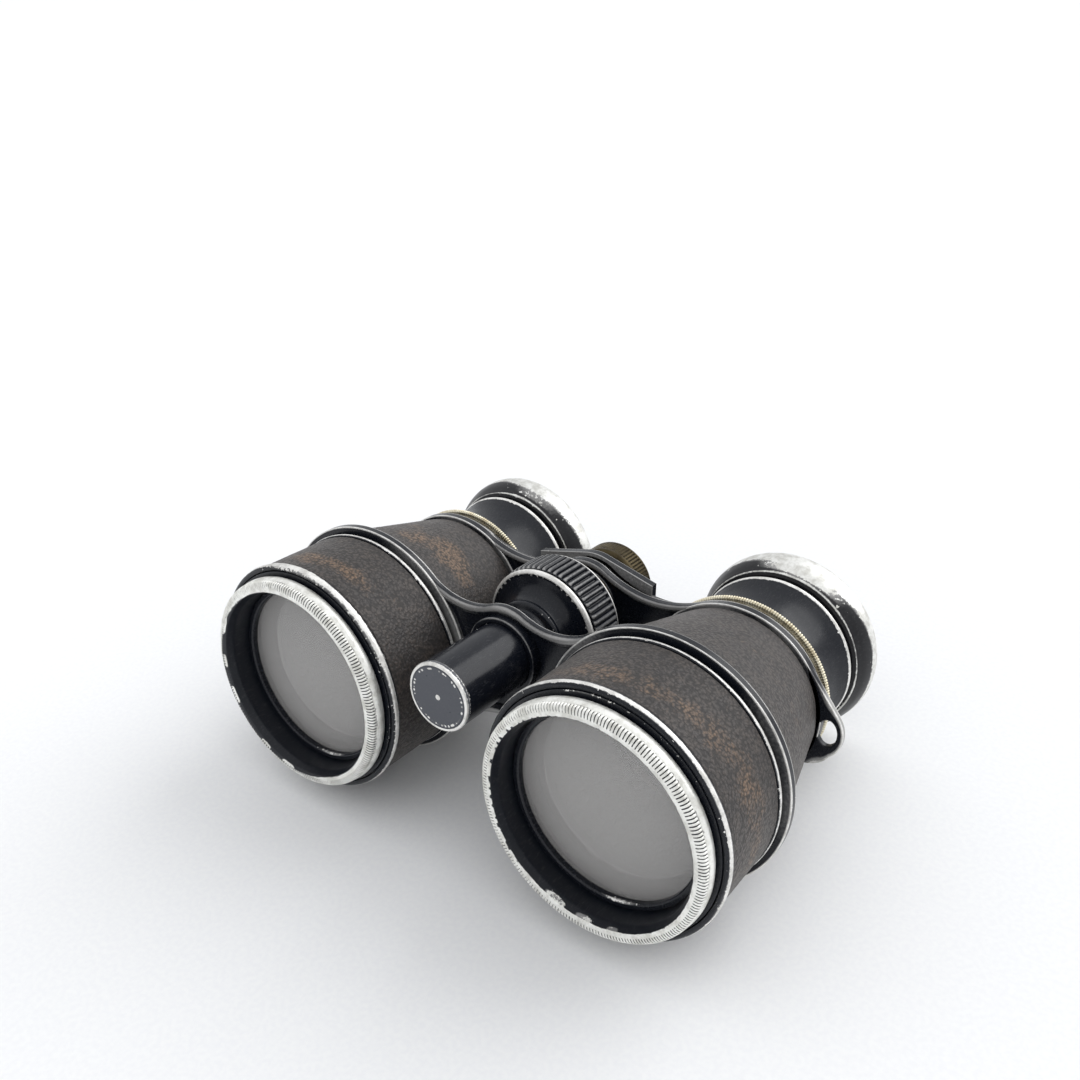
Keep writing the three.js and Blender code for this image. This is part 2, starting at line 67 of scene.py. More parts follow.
LIP_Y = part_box("objective_cell_left")[0].y / MM
AXIS_Z = centre("objective_cell_left").z
BARREL_X = centre("objective_cell_left").x
COLUMN_Z = centre("centre_tube").z - AXIS_Z
BARRELS = (("left", BARREL_X), ("right", -BARREL_X))
HUB = (0, COLUMN_Z)
JOURNAL_BORE = 4.9
STEP = 0.28  # usual spacing of points along a visible profile
COARSE = 2.0  # spacing on hidden inner surfaces
SPARSE = 9.0  # spacing where a line needs hardly any points
WHEEL, CARRIAGE = "focus_wheel", "eyepiece_carriage"  # the moving bodies


# ---- node graphs ----

class Graph:
    """A material's node tree, with one short method for each kind of node used here."""

    def __init__(self, name):
        self.material = bpy.data.materials.new(name)
        self.material.use_nodes = True
        self.tree = self.material.node_tree
        self.tree.nodes.clear()
        coordinates = self.node("ShaderNodeTexCoord")
        scaled = self.node("ShaderNodeVectorMath", operation="SCALE")
        scaled.inputs["Scale"].default_value = 1 / MM
        self.link(coordinates.outputs["Object"], scaled.inputs[0])
        self.mm = scaled.outputs[0]

    def node(self, kind, **settings):
        made = self.tree.nodes.new(kind)
        for key, value in settings.items():
            setattr(made, key, value)
        return made

    def link(self, source, target):
        self.tree.links.new(source, target)

    def feed(self, socket, value):
        if isinstance(value, bpy.types.NodeSocket):
            self.link(value, socket)
        elif isinstance(value, tuple) and len(value) == 3 and socket.type == "RGBA":
            socket.default_value = (*value, 1)
        else:
            socket.default_value = value

    def fed(self, kind, **inputs):
        """A node with these inputs set, or linked, by name."""
        made = self.node(kind)
        for name, value in inputs.items():
            self.feed(made.inputs[name.replace("_", " ")], value)
        return made

    def math(self, operation, a, b):
        made = self.node("ShaderNodeMath", operation=operation)
        self.feed(made.inputs[0], a)
        self.feed(made.inputs[1], b)
        return made.outputs[0]

    def plus(self, total, *others):
        for other in others:
            total = self.math("ADD", total, other)
        return total

    def minus(self, a, b):
        return self.math("SUBTRACT", a, b)

    def times(self, a, b):
        return self.math("MULTIPLY", a, b)

    def attribute(self, name):
        return self.node("ShaderNodeAttribute", attribute_name=name).outputs["Fac"]

    def stretched(self, factors):
        made = self.node("ShaderNodeVectorMath", operation="MULTIPLY")
        self.link(self.mm, made.inputs[0])
        made.inputs[1].default_value = factors
        return made.outputs[0]

    def noise(self, scale, detail=4, rough=0.55, vector=None, distortion=0.0):
        return self.fed("ShaderNodeTexNoise", Vector=vector or self.mm, Scale=scale, Detail=detail,
                        Roughness=rough, Distortion=distortion).outputs["Fac"]

    def cells(self, scale, output="Distance", vector=None):
        return self.fed("ShaderNodeTexVoronoi", Vector=vector or self.mm, Scale=scale).outputs[output]

    def warped(self, scale, amount):
        """The coordinates pushed about by noise, by up to about `amount` mm."""
        drift = self.fed("ShaderNodeTexNoise", Vector=self.mm, Scale=scale, Detail=3)
        shift = self.node("ShaderNodeVectorMath", operation="SCALE")
        self.link(drift.outputs["Color"], shift.inputs[0])
        shift.inputs["Scale"].default_value = amount
        moved = self.node("ShaderNodeVectorMath", operation="ADD")
        self.link(self.mm, moved.inputs[0])
        self.link(shift.outputs[0], moved.inputs[1])
        return moved.outputs[0]

    def ramp(self, value, low, high, to_low=0.0, to_high=1.0, smooth=True):
        made = self.node("ShaderNodeMapRange", clamp=True)
        made.interpolation_type = "SMOOTHSTEP" if smooth else "LINEAR"
        for name, x in (("Value", value), ("From Min", low), ("From Max", high),
                        ("To Min", to_low), ("To Max", to_high)):
            self.feed(made.inputs[name], x)
        return made.outputs["Result"]

    def mix(self, share, a, b):
        made = self.node("ShaderNodeMix", data_type="RGBA")
        self.feed(made.inputs["Factor"], share)
        self.feed(made.inputs[6], a)
        self.feed(made.inputs[7], b)
        return made.outputs[2]

    def blend(self, share, a, b):
        made = self.node("ShaderNodeMix", data_type="FLOAT")
        self.feed(made.inputs["Factor"], share)
        self.feed(made.inputs[2], a)
        self.feed(made.inputs[3], b)
        return made.outputs[0]

    def bump(self, height, depth):
        return self.fed("ShaderNodeBump", Distance=depth * MM, Height=height).outputs["Normal"]

    def mix_shaders(self, share, first, second):
        made = self.node("ShaderNodeMixShader")
        for socket, source in zip(made.inputs, (share, first.outputs[0], second.outputs[0])):
            self.link(source, socket)
        return made

    def finished(self, shader):
        output = self.node("ShaderNodeOutputMaterial")
        self.link(shader.outputs[0], output.inputs["Surface"])
        return self.material

    def surface(self, **inputs):
        return self.finished(self.fed("ShaderNodeBsdfPrincipled", **inputs))


def bare_colour(g, light, dark):
    """Worn metal: pale, with darker smudges and fine specks."""
    smudge = g.ramp(g.noise(0.5, 5, 0.65), 0.38, 0.68)
    speck = g.ramp(g.noise(4.5, 3, 0.7), 0.62, 0.74, 0, 0.55)
    return g.mix(g.math("MAXIMUM", g.times(smudge, 0.7), speck), light, dark)


def worn_paint(name, paint, light, dark, gloss=0.17, crumble=1.0, chips=0.2, thinning=0.32):
    """Black paint over pale metal. The mesh attribute "wear" says how far it is rubbed away; on the bridge
    rims and the centre tube's top it also holds a painted highlight. The paint thins to a satin grey
    from `thinning` on, then breaks up with ragged edges and chips."""
    g = Graph(name)
    wear_and_sheen = g.attribute("wear_and_sheen")
    fine = g.minus(g.noise(1.7, 7, 0.66), 0.5)
    broad = g.minus(g.noise(0.32, 3, 0.5), 0.5)
    level = g.plus(wear_and_sheen, g.times(fine, 1.25 * crumble), g.times(broad, 0.6 * crumble))
    bare = g.ramp(level, 0.52, 0.55)
    split = g.node("ShaderNodeSeparateColor")
    torn = g.warped(1.6, 1.1)
    g.link(g.cells(1.15, output="Color", vector=torn), split.inputs[0])
    chosen = g.math("LESS_THAN", split.outputs[0], chips)
    away = g.plus(g.cells(1.15, vector=torn), g.times(fine, 0.7))
    chip = g.math("LESS_THAN", away, g.plus(g.times(split.outputs[1], 0.2), 0.08))
    chip = g.times(g.times(chip, chosen), g.math("GREATER_THAN", wear_and_sheen, 0.2))
    bare = g.math("MAXIMUM", bare, chip)
    # Satin grey where the paint thins. Along the bridge rims this grey is also a painted highlight.
    thin_and_sheen = g.ramp(g.plus(wear_and_sheen, g.times(fine, 0.2)), thinning, thinning + 0.3)
    scuff = g.ramp(g.noise(3.0, 5, 0.7, g.stretched((1, 0.25, 1))), 0.5, 0.78)
    dull_and_sheen = g.math("MAXIMUM", g.times(thin_and_sheen, 0.85), g.times(scuff, 0.06))
    coloured = g.mix(dull_and_sheen, paint, (0.46, 0.455, 0.445))
    metal = bare_colour(g, light, dark)
    lift = g.minus(1.0, bare)
    height = g.plus(lift, g.times(g.noise(0.9, 3, 0.5), 0.4))
    film = g.ramp(g.noise(0.6, 5, 0.6), 0.3, 0.8, gloss, gloss + 0.1)
    return g.surface(
        Base_Color=g.mix(bare, coloured, metal),
        Metallic=g.math("MAXIMUM", g.times(bare, 0.7), g.times(dull_and_sheen, 0.7)),
        Roughness=g.blend(bare, g.plus(film, g.times(dull_and_sheen, 0.1)),
                          g.ramp(g.noise(1.2, 4), 0.3, 0.7, 0.36, 0.52)),
        Specular_IOR_Level=0.31,
        Normal=g.bump(height, 0.02),
    )


def leather(name):
    """Fine pebbled leather: dark in the creases, brown on the pebbles, tan where "rub" is high."""
    g = Graph(name)
    rub = g.attribute("rub")
    grain = g.cells(1.8, vector=g.warped(1.3, 0.9))
    pebble = g.ramp(grain, 0.05, 0.85, 1.0, 0.0, smooth=False)
    pores = g.noise(6.5, 5, 0.7)
    patch = g.noise(0.2, 6, 0.65, distortion=0.8)
    fibre = g.noise(1.6, 6, 0.72)
    amount = g.plus(rub, g.times(g.minus(patch, 0.5), 1.5), g.times(g.minus(fibre, 0.5), 1.1))
    worn = g.ramp(amount, 0.4, 0.95)
    top = g.ramp(g.plus(pebble, g.times(pores, 0.5)), 0.35, 1.1)
    mottle = g.ramp(g.noise(0.45, 5, 0.6), 0.35, 0.7)
    crease = g.mix(mottle, (0.012, 0.010, 0.010), (0.017, 0.014, 0.012))
    crown = g.mix(mottle, (0.038, 0.032, 0.030), (0.060, 0.047, 0.040))
    body = g.mix(top, crease, crown)
    tan = g.mix(top, (0.026, 0.017, 0.011), (0.20, 0.122, 0.070))
    height = g.plus(pebble, g.times(pores, 0.35))
    return g.surface(
        Base_Color=g.mix(g.times(worn, 0.9), body, tan),
        Roughness=g.ramp(top, 0.0, 1.0, 0.6, 0.47),
        Specular_IOR_Level=0.5,
        Sheen_Weight=0.12,
        Sheen_Roughness=0.5,
        Sheen_Tint=(0.8, 0.76, 0.72),
        Normal=g.bump(height, 0.09),
    )


def turned_metal(name, light, dark, rough):
    """Plain metal with tool marks round it, smudges and specks; grime where "wear" is low."""
    g = Graph(name)
    marks = g.noise(5.0, 2, 0.5, g.stretched((0.15, 1, 0.15)))
    clean = g.ramp(g.attribute("wear_and_sheen"), 0.0, 1.0)
    colour = g.mix(clean, (0.02, 0.017, 0.012), bare_colour(g, light, dark))
    return g.surface(
        Base_Color=colour,
        Metallic=1.0,
        Roughness=g.ramp(marks, 0.3, 0.7, rough, rough + 0.14),
        Normal=g.bump(g.plus(marks, g.noise(1.4, 4)), 0.006),
    )


def flat_black(name):
    """The dull black inside the barrels, with faint turning rings and dust."""
    g = Graph(name)
    rings = g.noise(3.5, 2, 0.5, g.stretched((0.05, 1, 0.05)))
    dust = g.ramp(g.noise(2.2, 6, 0.75), 0.6, 0.8)
    return g.surface(
        Base_Color=g.mix(dust, (0.006, 0.006, 0.008), (0.03, 0.03, 0.031)),
        Roughness=g.ramp(rings, 0.3, 0.7, 0.4, 0.62),
        Normal=g.bump(rings, 0.012),
    )


def lens_glass(name):
    """Clear glass under an even grey haze, with dust and a few wipe marks. Only the faces seen from
    outside mirror the surroundings."""
    g = Graph(name)
    dust = g.ramp(g.noise(2.6, 3, 0.6), 0.3, 0.75)
    wipes = g.ramp(g.noise(1.2, 5, 0.8, g.stretched((1, 1, 0.12))), 0.55, 0.8)
    specks = g.ramp(g.cells(0.55), 0.0, 0.035, 1.0, 0.0)
    haze = g.plus(g.times(dust, 0.02), g.times(wipes, 0.006), 0.27, g.times(specks, 0.12))
    clear = g.fed("ShaderNodeBsdfTransparent", Color=(0.93, 0.93, 0.93))
    mirror = g.fed("ShaderNodeBsdfGlossy", Roughness=0.04)
    facing = g.fed("ShaderNodeLayerWeight", Blend=0.5)
    slant = g.math("POWER", facing.outputs["Facing"], 5.0)
    outside = g.minus(1.0, g.node("ShaderNodeNewGeometry").outputs["Backfacing"])
    share = g.times(g.plus(g.times(slant, 0.7), 0.04), outside)
    dusty = g.fed("ShaderNodeBsdfDiffuse", Color=(0.70, 0.685, 0.67))
    return g.finished(g.mix_shaders(haze, g.mix_shaders(share, clear, mirror), dusty))


BLACK = (0.006, 0.0075, 0.012)
PALE, PALE_DARK = (0.92, 0.91, 0.88), (0.50, 0.49, 0.46)
SILVER, SILVER_DARK = (0.94, 0.94, 0.90), (0.56, 0.55, 0.50)
LACQUER = worn_paint("black_lacquer", BLACK, PALE, PALE_DARK)
# Its satin grey starts at low wear, so the bridge rims get a lighter band: partly rubbed paint, partly
# painted highlight.
RUBBED_AND_SHEEN_LACQUER = worn_paint("rubbed_and_sheen_lacquer", BLACK, PALE, PALE_DARK, 0.22, 0.3, 0.02, 0.14)
BELL_LACQUER = worn_paint("bell_lacquer", BLACK, PALE, PALE_DARK, gloss=0.25)
SLATE = worn_paint("cap_lacquer", (0.075, 0.080, 0.094), PALE, PALE_DARK, gloss=0.27, chips=0.08)
CELL_PAINT = worn_paint("worn_aluminium", BLACK, SILVER, SILVER_DARK, gloss=0.3, chips=0.3)
CUP_PAINT = worn_paint(
    "cup_black", (0.008, 0.008, 0.010), (0.84, 0.84, 0.81), (0.46, 0.45, 0.41), 0.28, 0.7)
LEATHER = leather("leather")
PALE_BRASS = turned_metal("pale_brass", (0.82, 0.77, 0.61), (0.52, 0.43, 0.27), 0.34)
BRASS = turned_metal("brass", (0.48, 0.33, 0.13), (0.16, 0.10, 0.045), 0.34)
# Painted reflection: the knob's dark golden brown is partly brass and partly a brown leather case mirrored in
# it.
BRASS_AND_CASE_REFLECTION = turned_metal("brass_and_case_reflection", (0.072, 0.057, 0.031), (0.024, 0.019, 0.012), 0.38)
STEEL = turned_metal("steel", (0.60, 0.60, 0.59), (0.42, 0.41, 0.40), 0.28)
INNER_BLACK = flat_black("inner_black")
GLASS = lens_glass("glass")


# ---- profiles and meshes ----

def corner(r, y, round=0.0, edge=0.0, spread=0.28, wear_and_sheen=0.0, tooth=0.0, step=STEP):
    """A corner of a turned profile. `round` is its fillet and `edge` how far its paint is rubbed,
    over `spread` mm. `wear_and_sheen`, `tooth` and `step` hold for the line from here to the next corner."""
    return dict(r=r, y=y, round=round, edge=edge, spread=spread, wear_and_sheen=wear_and_sheen, tooth=tooth, step=step)


def hidden(*points, wear_and_sheen=0.0, step=COARSE):
    """Sharp corners on surfaces that are hardly seen."""
    return [corner(r, y, wear_and_sheen=wear_and_sheen, step=step) for r, y in points]


def bare(corners):
    """The same profile in bare metal."""
    return [dict(c, wear_and_sheen=1) for c in corners]


def trace(corners, closed=True):
    """Points along a profile with its corners rounded: arrays of radius, station, wear and tooth."""
    count = len(corners)
    where = [np.array((c["r"], c["y"]), float) for c in corners]
    points, edges = [], []
    for i, c in enumerate(corners):
        loose = not closed and i in (0, count - 1)
        before, here, after = where[i - 1], where[i], where[(i + 1) % count]
        into, out = before - here, after - here
        cut = 0 if loose else min(c["round"], 0.48 * np.hypot(*into), 0.48 * np.hypot(*out))
        last = corners[i - 1]
        if cut > 1e-6:
            a = here + into / np.hypot(*into) * cut
            b = here + out / np.hypot(*out) * cut
            arc = [(1 - t) ** 2 * a + 2 * t * (1 - t) * here + t * t * b for t in np.linspace(0, 1, 6)]
        else:
            arc = [here]
        for k, p in enumerate(arc):
            t = k / (len(arc) - 1) if len(arc) > 1 else 0.5
            wear_and_sheen = last["wear_and_sheen"] * (1 - t) + c["wear_and_sheen"] * t
            tooth = last["tooth"] * (1 - t) + c["tooth"] * t
            points.append((p[0], p[1], wear_and_sheen, tooth))
        if c["edge"]:
            edges.append((len(points) - 1 - len(arc) // 2, c["edge"], c["spread"]))
        if loose and i == count - 1:
            continue
        start = arc[-1]
        following = corners[(i + 1) % count]
        gap = min(following["round"], 0.48 * np.hypot(*out))
        far_loose = not closed and (i + 1) % count in (0, count - 1)
        end = after if far_loose else after - out / np.hypot(*out) * gap
        pieces = max(1, math.ceil(np.hypot(*(end - start)) / c["step"]))
        for k in range(1, pieces):
            p = start + (end - start) * k / pieces
            points.append((p[0], p[1], c["wear_and_sheen"], c["tooth"]))
    table = np.array(points)
    hops = np.hypot(*np.diff(table[:, :2], axis=0, append=table[:1, :2]).T)
    along = np.concatenate([[0], np.cumsum(hops)[:-1]])
    total = hops.sum() if closed else 1e9
    for index, strength, spread in edges:
        away = np.abs(along - along[index])
        away = np.minimum(away, total - away)
        table[:, 2] += strength * np.exp(-(away / spread) ** 2)
    return table


def normals_of(table, closed):
    """Unit normals of a profile, pointing to the right of its direction."""
    line = table[:, :2]
    if closed:
        run = np.roll(line, -1, 0) - np.roll(line, 1, 0)
    else:
        run = np.gradient(line, axis=0)
    size = np.maximum(np.hypot(*run.T), 1e-9)
    return np.stack([run[:, 1] / size, -run[:, 0] / size], 1)


def revolve(corners, count=160, axis=(0, 0), teeth=None, shade=None, closed=True):
    """A turned solid about +Y: (vertices, faces, wear). The profile runs so that the solid is on its
    left. `teeth(angle)` is how deep the teeth cut along the normal where tooth is 1, and
    `shade(angle, radius, station)` is added to the wear."""
    table = trace(corners, closed)
    normal = normals_of(table, closed)
    flip = signed_area(table[:, :2]) < 0
    angle = np.arange(count) * TAU / count
    radius, station, wear_and_sheen, tooth = (np.repeat(table[:, k:k + 1], count, 1) for k in range(4))
    theta = np.repeat(angle[None, :], len(table), 0)
    if teeth is not None:
        depth, grime = teeth(theta)
        side = 1 if flip else -1
        radius = radius + side * normal[:, :1] * depth * tooth
        station = station + side * normal[:, 1:] * depth * tooth
        wear_and_sheen = wear_and_sheen - grime * tooth
    if shade is not None:
        wear_and_sheen = wear_and_sheen + shade(theta, radius, station)
    on_axis = np.abs(table[:, 0]) < 1e-6
    index = np.arange(len(table) * count).reshape(len(table), count)
    x = axis[0] + radius * np.cos(theta)
    z = axis[1] + radius * np.sin(theta)
    vertices = np.stack([x, station, z], -1).reshape(-1, 3)
    for row in np.nonzero(on_axis)[0]:
        index[row] = index[row, 0]
    rows = range(len(table)) if closed else range(len(table) - 1)
    faces = []
    for i in rows:
        j = (i + 1) % len(table)
        a, b = index[i], index[j]
        a2, b2 = np.roll(a, -1), np.roll(b, -1)
        if on_axis[i] and on_axis[j]:
            continue
        if on_axis[i]:
            quads = np.stack([a, b, b2], 1)
        elif on_axis[j]:
            quads = np.stack([a, b, a2], 1)
        else:
            quads = np.stack([a, b, b2, a2], 1)
        if flip:
            quads = quads[:, ::-1]
        faces += quads.tolist()
    return vertices, faces, wear_and_sheen.reshape(-1)


def signed_area(line):
    x, y = line[:, 0], line[:, 1]
    return 0.5 * np.sum(x * np.roll(y, -1) - np.roll(x, -1) * y)


def merged(*solids):
    """Several closed shells as one mesh."""
    vertices, faces, wear_and_sheen, offset = [], [], [], 0
    for v, f, w in solids:
        vertices.append(v)
        wear_and_sheen.append(w)
        faces += [[k + offset for k in face] for face in f]
        offset += len(v)
    return np.concatenate(vertices), faces, np.concatenate(wear_and_sheen)


def add_object(name, data):
    made = bpy.data.objects.new(name, data)
    bpy.context.scene.collection.objects.link(made)
    return made


def place(node, solid, material, body="frame", suffix="fine", attribute="wear_and_sheen", crease=38):
    """Makes the piece that replaces a CAD node, from a solid in the station frame."""
    vertices, faces, wear_and_sheen = solid
    used = np.zeros(len(vertices), bool)
    used[np.fromiter((k for face in faces for k in face), int)] = True
    renumber = np.cumsum(used) - 1
    vertices, wear_and_sheen = vertices[used], wear_and_sheen[used]
    faces = [[int(renumber[k]) for k in face] for face in faces]
    row = (vertices + np.array((0, LIP_Y, AXIS_Z))) * MM
    name = f"{node}_{suffix}"
    mesh = bpy.data.meshes.new(name)
    mesh.from_pydata(row.tolist(), [], faces)
    mesh.attributes.new(attribute, "FLOAT", "POINT").data.foreach_set("value", wear_and_sheen.astype(np.float32))
    mesh.shade_smooth()
    mesh.set_sharp_from_angle(angle=math.radians(crease))
    mesh.materials.append(material)
    made = add_object(name, mesh)
    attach(made, body)
    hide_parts(node)


def uneven(seed, strength=0.2, lean=0.0, toward=90.0):
    """Wear that differs round a piece: a few slow waves, and more towards one angle."""
    draw = random.Random(seed)
    waves = [(k, draw.uniform(0, TAU), draw.uniform(0.4, 1.0) / k ** 0.5) for k in (1, 2, 3, 5, 8)]

    def shade(theta, *_):
        total = sum(size * np.cos(k * theta + phase) for k, phase, size in waves)
        return strength * 0.5 * total + lean * np.cos(theta - math.radians(toward))
    return shade


def knocked(theta, seed, share=0.35, finest=60):
    """Irregular nicks along an edge: 0 between them and up to 1 inside them."""
    draw = random.Random(seed)
    total = sum(np.cos(draw.randint(5, finest) * theta + draw.uniform(0, TAU)) for _ in range(9))
    return np.clip(total / 2.2 - 1.0 + 2 * share, 0, 1)


def spread_over(theta, middle, wide):
    """1 at the angle `middle`, falling off over `wide`, both in degrees."""
    turn = (np.degrees(theta) - middle + 180) % 360 - 180
    return np.exp(-(turn / wide) ** 2)


def notches(count, depth, width, grime, seed=0):
    """Narrow slots round a ring, darker where dirt has stayed in them."""
    draw = random.Random(seed)
    phases = [draw.uniform(0, TAU) for _ in range(3)]

    def teeth(theta):
        slot = np.clip(np.cos(theta * count) - (1 - width), 0, width) / width
        dirt = 0.92 + 0.14 * np.cos(theta + 0.2) + 0.08 * np.cos(3 * theta + phases[1])
        return depth * slot ** 0.5, grime * slot ** 0.5 * np.clip(dirt, 0, 1)
    return teeth


# ---- barrels ----

KNURL_COUNT = 218
RING_KNURL_COUNT = 210


def objective_cell(side, x):
    mouth_up = 1 if side == "left" else -1

    def shade(theta, radius, station):
        """Inside the mouth the paint keeps to the bore; low down it reaches over the lip's face."""
        front = np.clip(1.3 - station / 1.1, 0, 1)
        if mouth_up > 0:
            low = spread_over(theta, 240, 62)
            ragged = (knocked(theta, 18, 0.5, 110) - 0.5) * (0.3 + 0.25 * spread_over(theta, 148, 30))
            outer = 17.45 + 0.62 * low + 0.3 * spread_over(theta, 148, 30) + ragged
            chips = 1.9 * spread_over(theta, 266, 33) * (0.66 + 0.34 * np.cos(7 * theta) * np.cos(13 * theta))
            chips = chips * np.exp(-((radius - 17.5) / 0.8) ** 2) * np.clip((2.0 - station) / 1.3, 0, 1)
        else:
            low = spread_over(theta, 200, 50)
            outer = 17.55 + 1.5 * low + 0.6 * spread_over(theta, 262, 30)
            chips = knocked(theta, 14, 0.46, 24) * np.maximum(low, spread_over(theta, 262, 30))
            chips = 1.8 * chips * np.exp(-((radius - 18.2) / 0.3) ** 2) * (station < 1.0)
        painted = np.clip((outer - radius) / 0.9 + 0.5, 0, 1)
        worn = uneven(11 + mouth_up, 0.1)(theta)
        chips = np.clip(chips, 0, 1)
        return -1.25 * painted * front * (1 - chips) + 0.6 * chips + worn

    corners = [
        corner(17.56, 0.12, 0.12, wear_and_sheen=1.15, step=0.16),
        corner(18.3, 0.0, 0.12, wear_and_sheen=1.3, tooth=1.0, step=0.12),
        corner(18.95, 0.02, 0.4, wear_and_sheen=1.3, tooth=1.0, step=0.12),
        corner(19.5, 0.38, 0.4, wear_and_sheen=1.3, tooth=1.0, step=0.12),
        corner(19.58, 0.95, wear_and_sheen=0.9, step=0.12),
        corner(19.3, 1.1, wear_and_sheen=0.3),
        corner(19.45, 1.25, wear_and_sheen=1.0, step=0.2),
        corner(19.75, 1.9, 0.6, wear_and_sheen=1.05, step=0.2),
        corner(19.65, 2.7, 0.5, wear_and_sheen=0.95, step=0.2),
        corner(19.2, 3.2, 0.25, wear_and_sheen=0.2),
        *hidden((18.3, 3.2), (18.3, 12.2), (15.2, 12.2), (15.2, 10.85), step=SPARSE),
        corner(17.0, 10.85, step=SPARSE, wear_and_sheen=-1),
        corner(17.0, 4.2, step=0.5, wear_and_sheen=-0.6),
        corner(17.0, 1.5, 0.3, wear_and_sheen=-0.1, step=0.16),
    ]
    solid = revolve(corners, KNURL_COUNT * 6, (x, 0), notches(KNURL_COUNT, 0.16, 0.7, 1.35, 3), shade)
    place(f"objective_cell_{side}", solid, CELL_PAINT, suffix="ring")


def objective_ring(side, x):
    corners = [
        corner(15.75, 4.95, 0.1, edge=0.25, wear_and_sheen=-0.3, step=0.2),
        corner(16.0, 4.7, 0.1, edge=0.1, wear_and_sheen=-0.4, step=0.2),
        *hidden((16.7, 4.7), (16.7, 5.8), wear_and_sheen=-1),
        corner(15.75, 5.8, step=COARSE, wear_and_sheen=-0.3),
    ]

    def shade(theta, radius, station):
        return 0.62 * spread_over(theta, -78, 17) + uneven(21, 0.12)(theta)
    solid = revolve(corners, 128, (x, 0), shade=shade)
    place(f"objective_retaining_ring_{side}", solid, LACQUER)


def sphere_face(radius, rim, curve, bulge):
    """Corners along a spherical lens face, from the axis to the rim."""
    middle = rim - bulge * math.sqrt(curve ** 2 - radius ** 2)
    radii = [radius * k / 14 for k in range(15)]
    return [corner(r, middle + bulge * math.sqrt(curve ** 2 - r * r), step=SPARSE, wear_and_sheen=1) for r in radii]


def lens(node, x, front, back, body="frame"):
    place(node, revolve(front + back[::-1], 96, (x, 0), closed=False), GLASS, body, crease=50)


def lenses(side, x):
    lens(f"objective_front_lens_{side}", x, sphere_face(16.7, 6.2, 62, -1), sphere_face(16.7, 7.4, 70, 1))
    joint = sphere_face(16.7, 7.46, 70, 1)
    flat = joint[0]["y"] + 1.2
    lens(f"objective_rear_lens_{side}", x, joint, hidden((0, flat), (16.7, flat), step=SPARSE))
    lens(f"ocular_lens_{side}", x, sphere_face(9.3, 56.1, 32, 1) + hidden((10.5, 56.1), step=SPARSE),
         sphere_face(9.3, 59.4, 32, -1) + hidden((10.5, 59.4), step=SPARSE), CARRIAGE)


def barrel_shell(side, x):
    corners = [
        corner(18.45, 3.45, 0.1, wear_and_sheen=0.1),
        corner(20.2, 3.45, 0.1, edge=0.2, step=COARSE),
        corner(20.2, 22.6, step=COARSE),
        corner(15.15, 44.7, 0.1, step=0.3),
        corner(15.1, 46.4, 0.2, edge=0.6),
        corner(14.3, 46.4, 0.1, step=COARSE),
        *hidden((14.3, 39.6), (15.3, 39.6), (19.3, 22.6), (19.3, 12.9), (18.45, 12.9), wear_and_sheen=-1),
    ]
    solid = revolve(corners, 144, (x, 0), shade=uneven(31 + len(side), 0.25))
    place(f"barrel_shell_{side}", solid, LACQUER)


def trims(side, x):
    front = [
        corner(20.35, 3.5, 0.1, wear_and_sheen=0.05, step=0.18),
        corner(20.75, 3.4, 0.15, wear_and_sheen=0.16, step=0.14),
        corner(21.2, 3.55, 0.3, wear_and_sheen=0.2, step=0.12),
        corner(21.45, 4.1, 0.35, edge=0.95, spread=0.36, wear_and_sheen=0.05, step=0.12),
        corner(21.3, 4.75, 0.12, wear_and_sheen=0.0),
        corner(21.0, 4.9, 0.1, step=0.4),
        corner(20.35, 4.9, step=0.6),
    ]
    solid = revolve(front, 240, (x, 0), shade=uneven(41 + len(side), 0.26, 0.16, 60))
    place(f"front_trim_ring_{side}", solid, LACQUER, suffix="bead")
    middle = [
        corner(20.35, 19.4, step=0.6),
        corner(21.1, 19.4, 0.1, wear_and_sheen=0.12, step=0.12),
        corner(21.35, 19.85, 0.35, edge=1.0, spread=0.19, wear_and_sheen=0.05, step=0.1),
        corner(21.05, 20.35, 0.15, wear_and_sheen=0.0),
        corner(20.75, 20.6, 0.1),
        corner(20.35, 20.6, step=0.6),
    ]
    solid = revolve(middle, 240, (x, 0), shade=uneven(51 + len(side), 0.18, 0.2, 50))
    place(f"middle_trim_ring_{side}", solid, LACQUER, suffix="bead")


# Where the leather is rubbed to tan: (angle in degrees, station, spread in degrees, spread in mm, amount).
RUBBED = {
    "left": [(118, 8, 26, 3.5, 0.6), (84, 9.5, 20, 3.2, 0.5), (52, 11, 22, 3.5, 0.55),
             (22, 12, 24, 4.0, 0.62), (-8, 12, 20, 3.5, 0.5), (60, 35, 22, 4, 0.4), (30, 33, 18, 4, 0.38),
             (108, 30, 30, 6, 0.25)],
    "right": [(96, 9, 18, 3.0, 0.95), (72, 10, 13, 2.2, 0.8), (52, 12, 14, 3, 0.4), (80, 28, 14, 3, 0.7),
              (62, 33, 18, 4.0, 0.95), (48, 30, 14, 3, 0.6), (100, 34, 22, 5, 0.5)],
}


def rub_at(side, theta, station):
    return sum(amount * spread_over(theta, angle, wide) * np.exp(-((station - middle) / long) ** 2)
               for angle, middle, wide, long, amount in RUBBED[side])


PEBBLE_SEED = 1


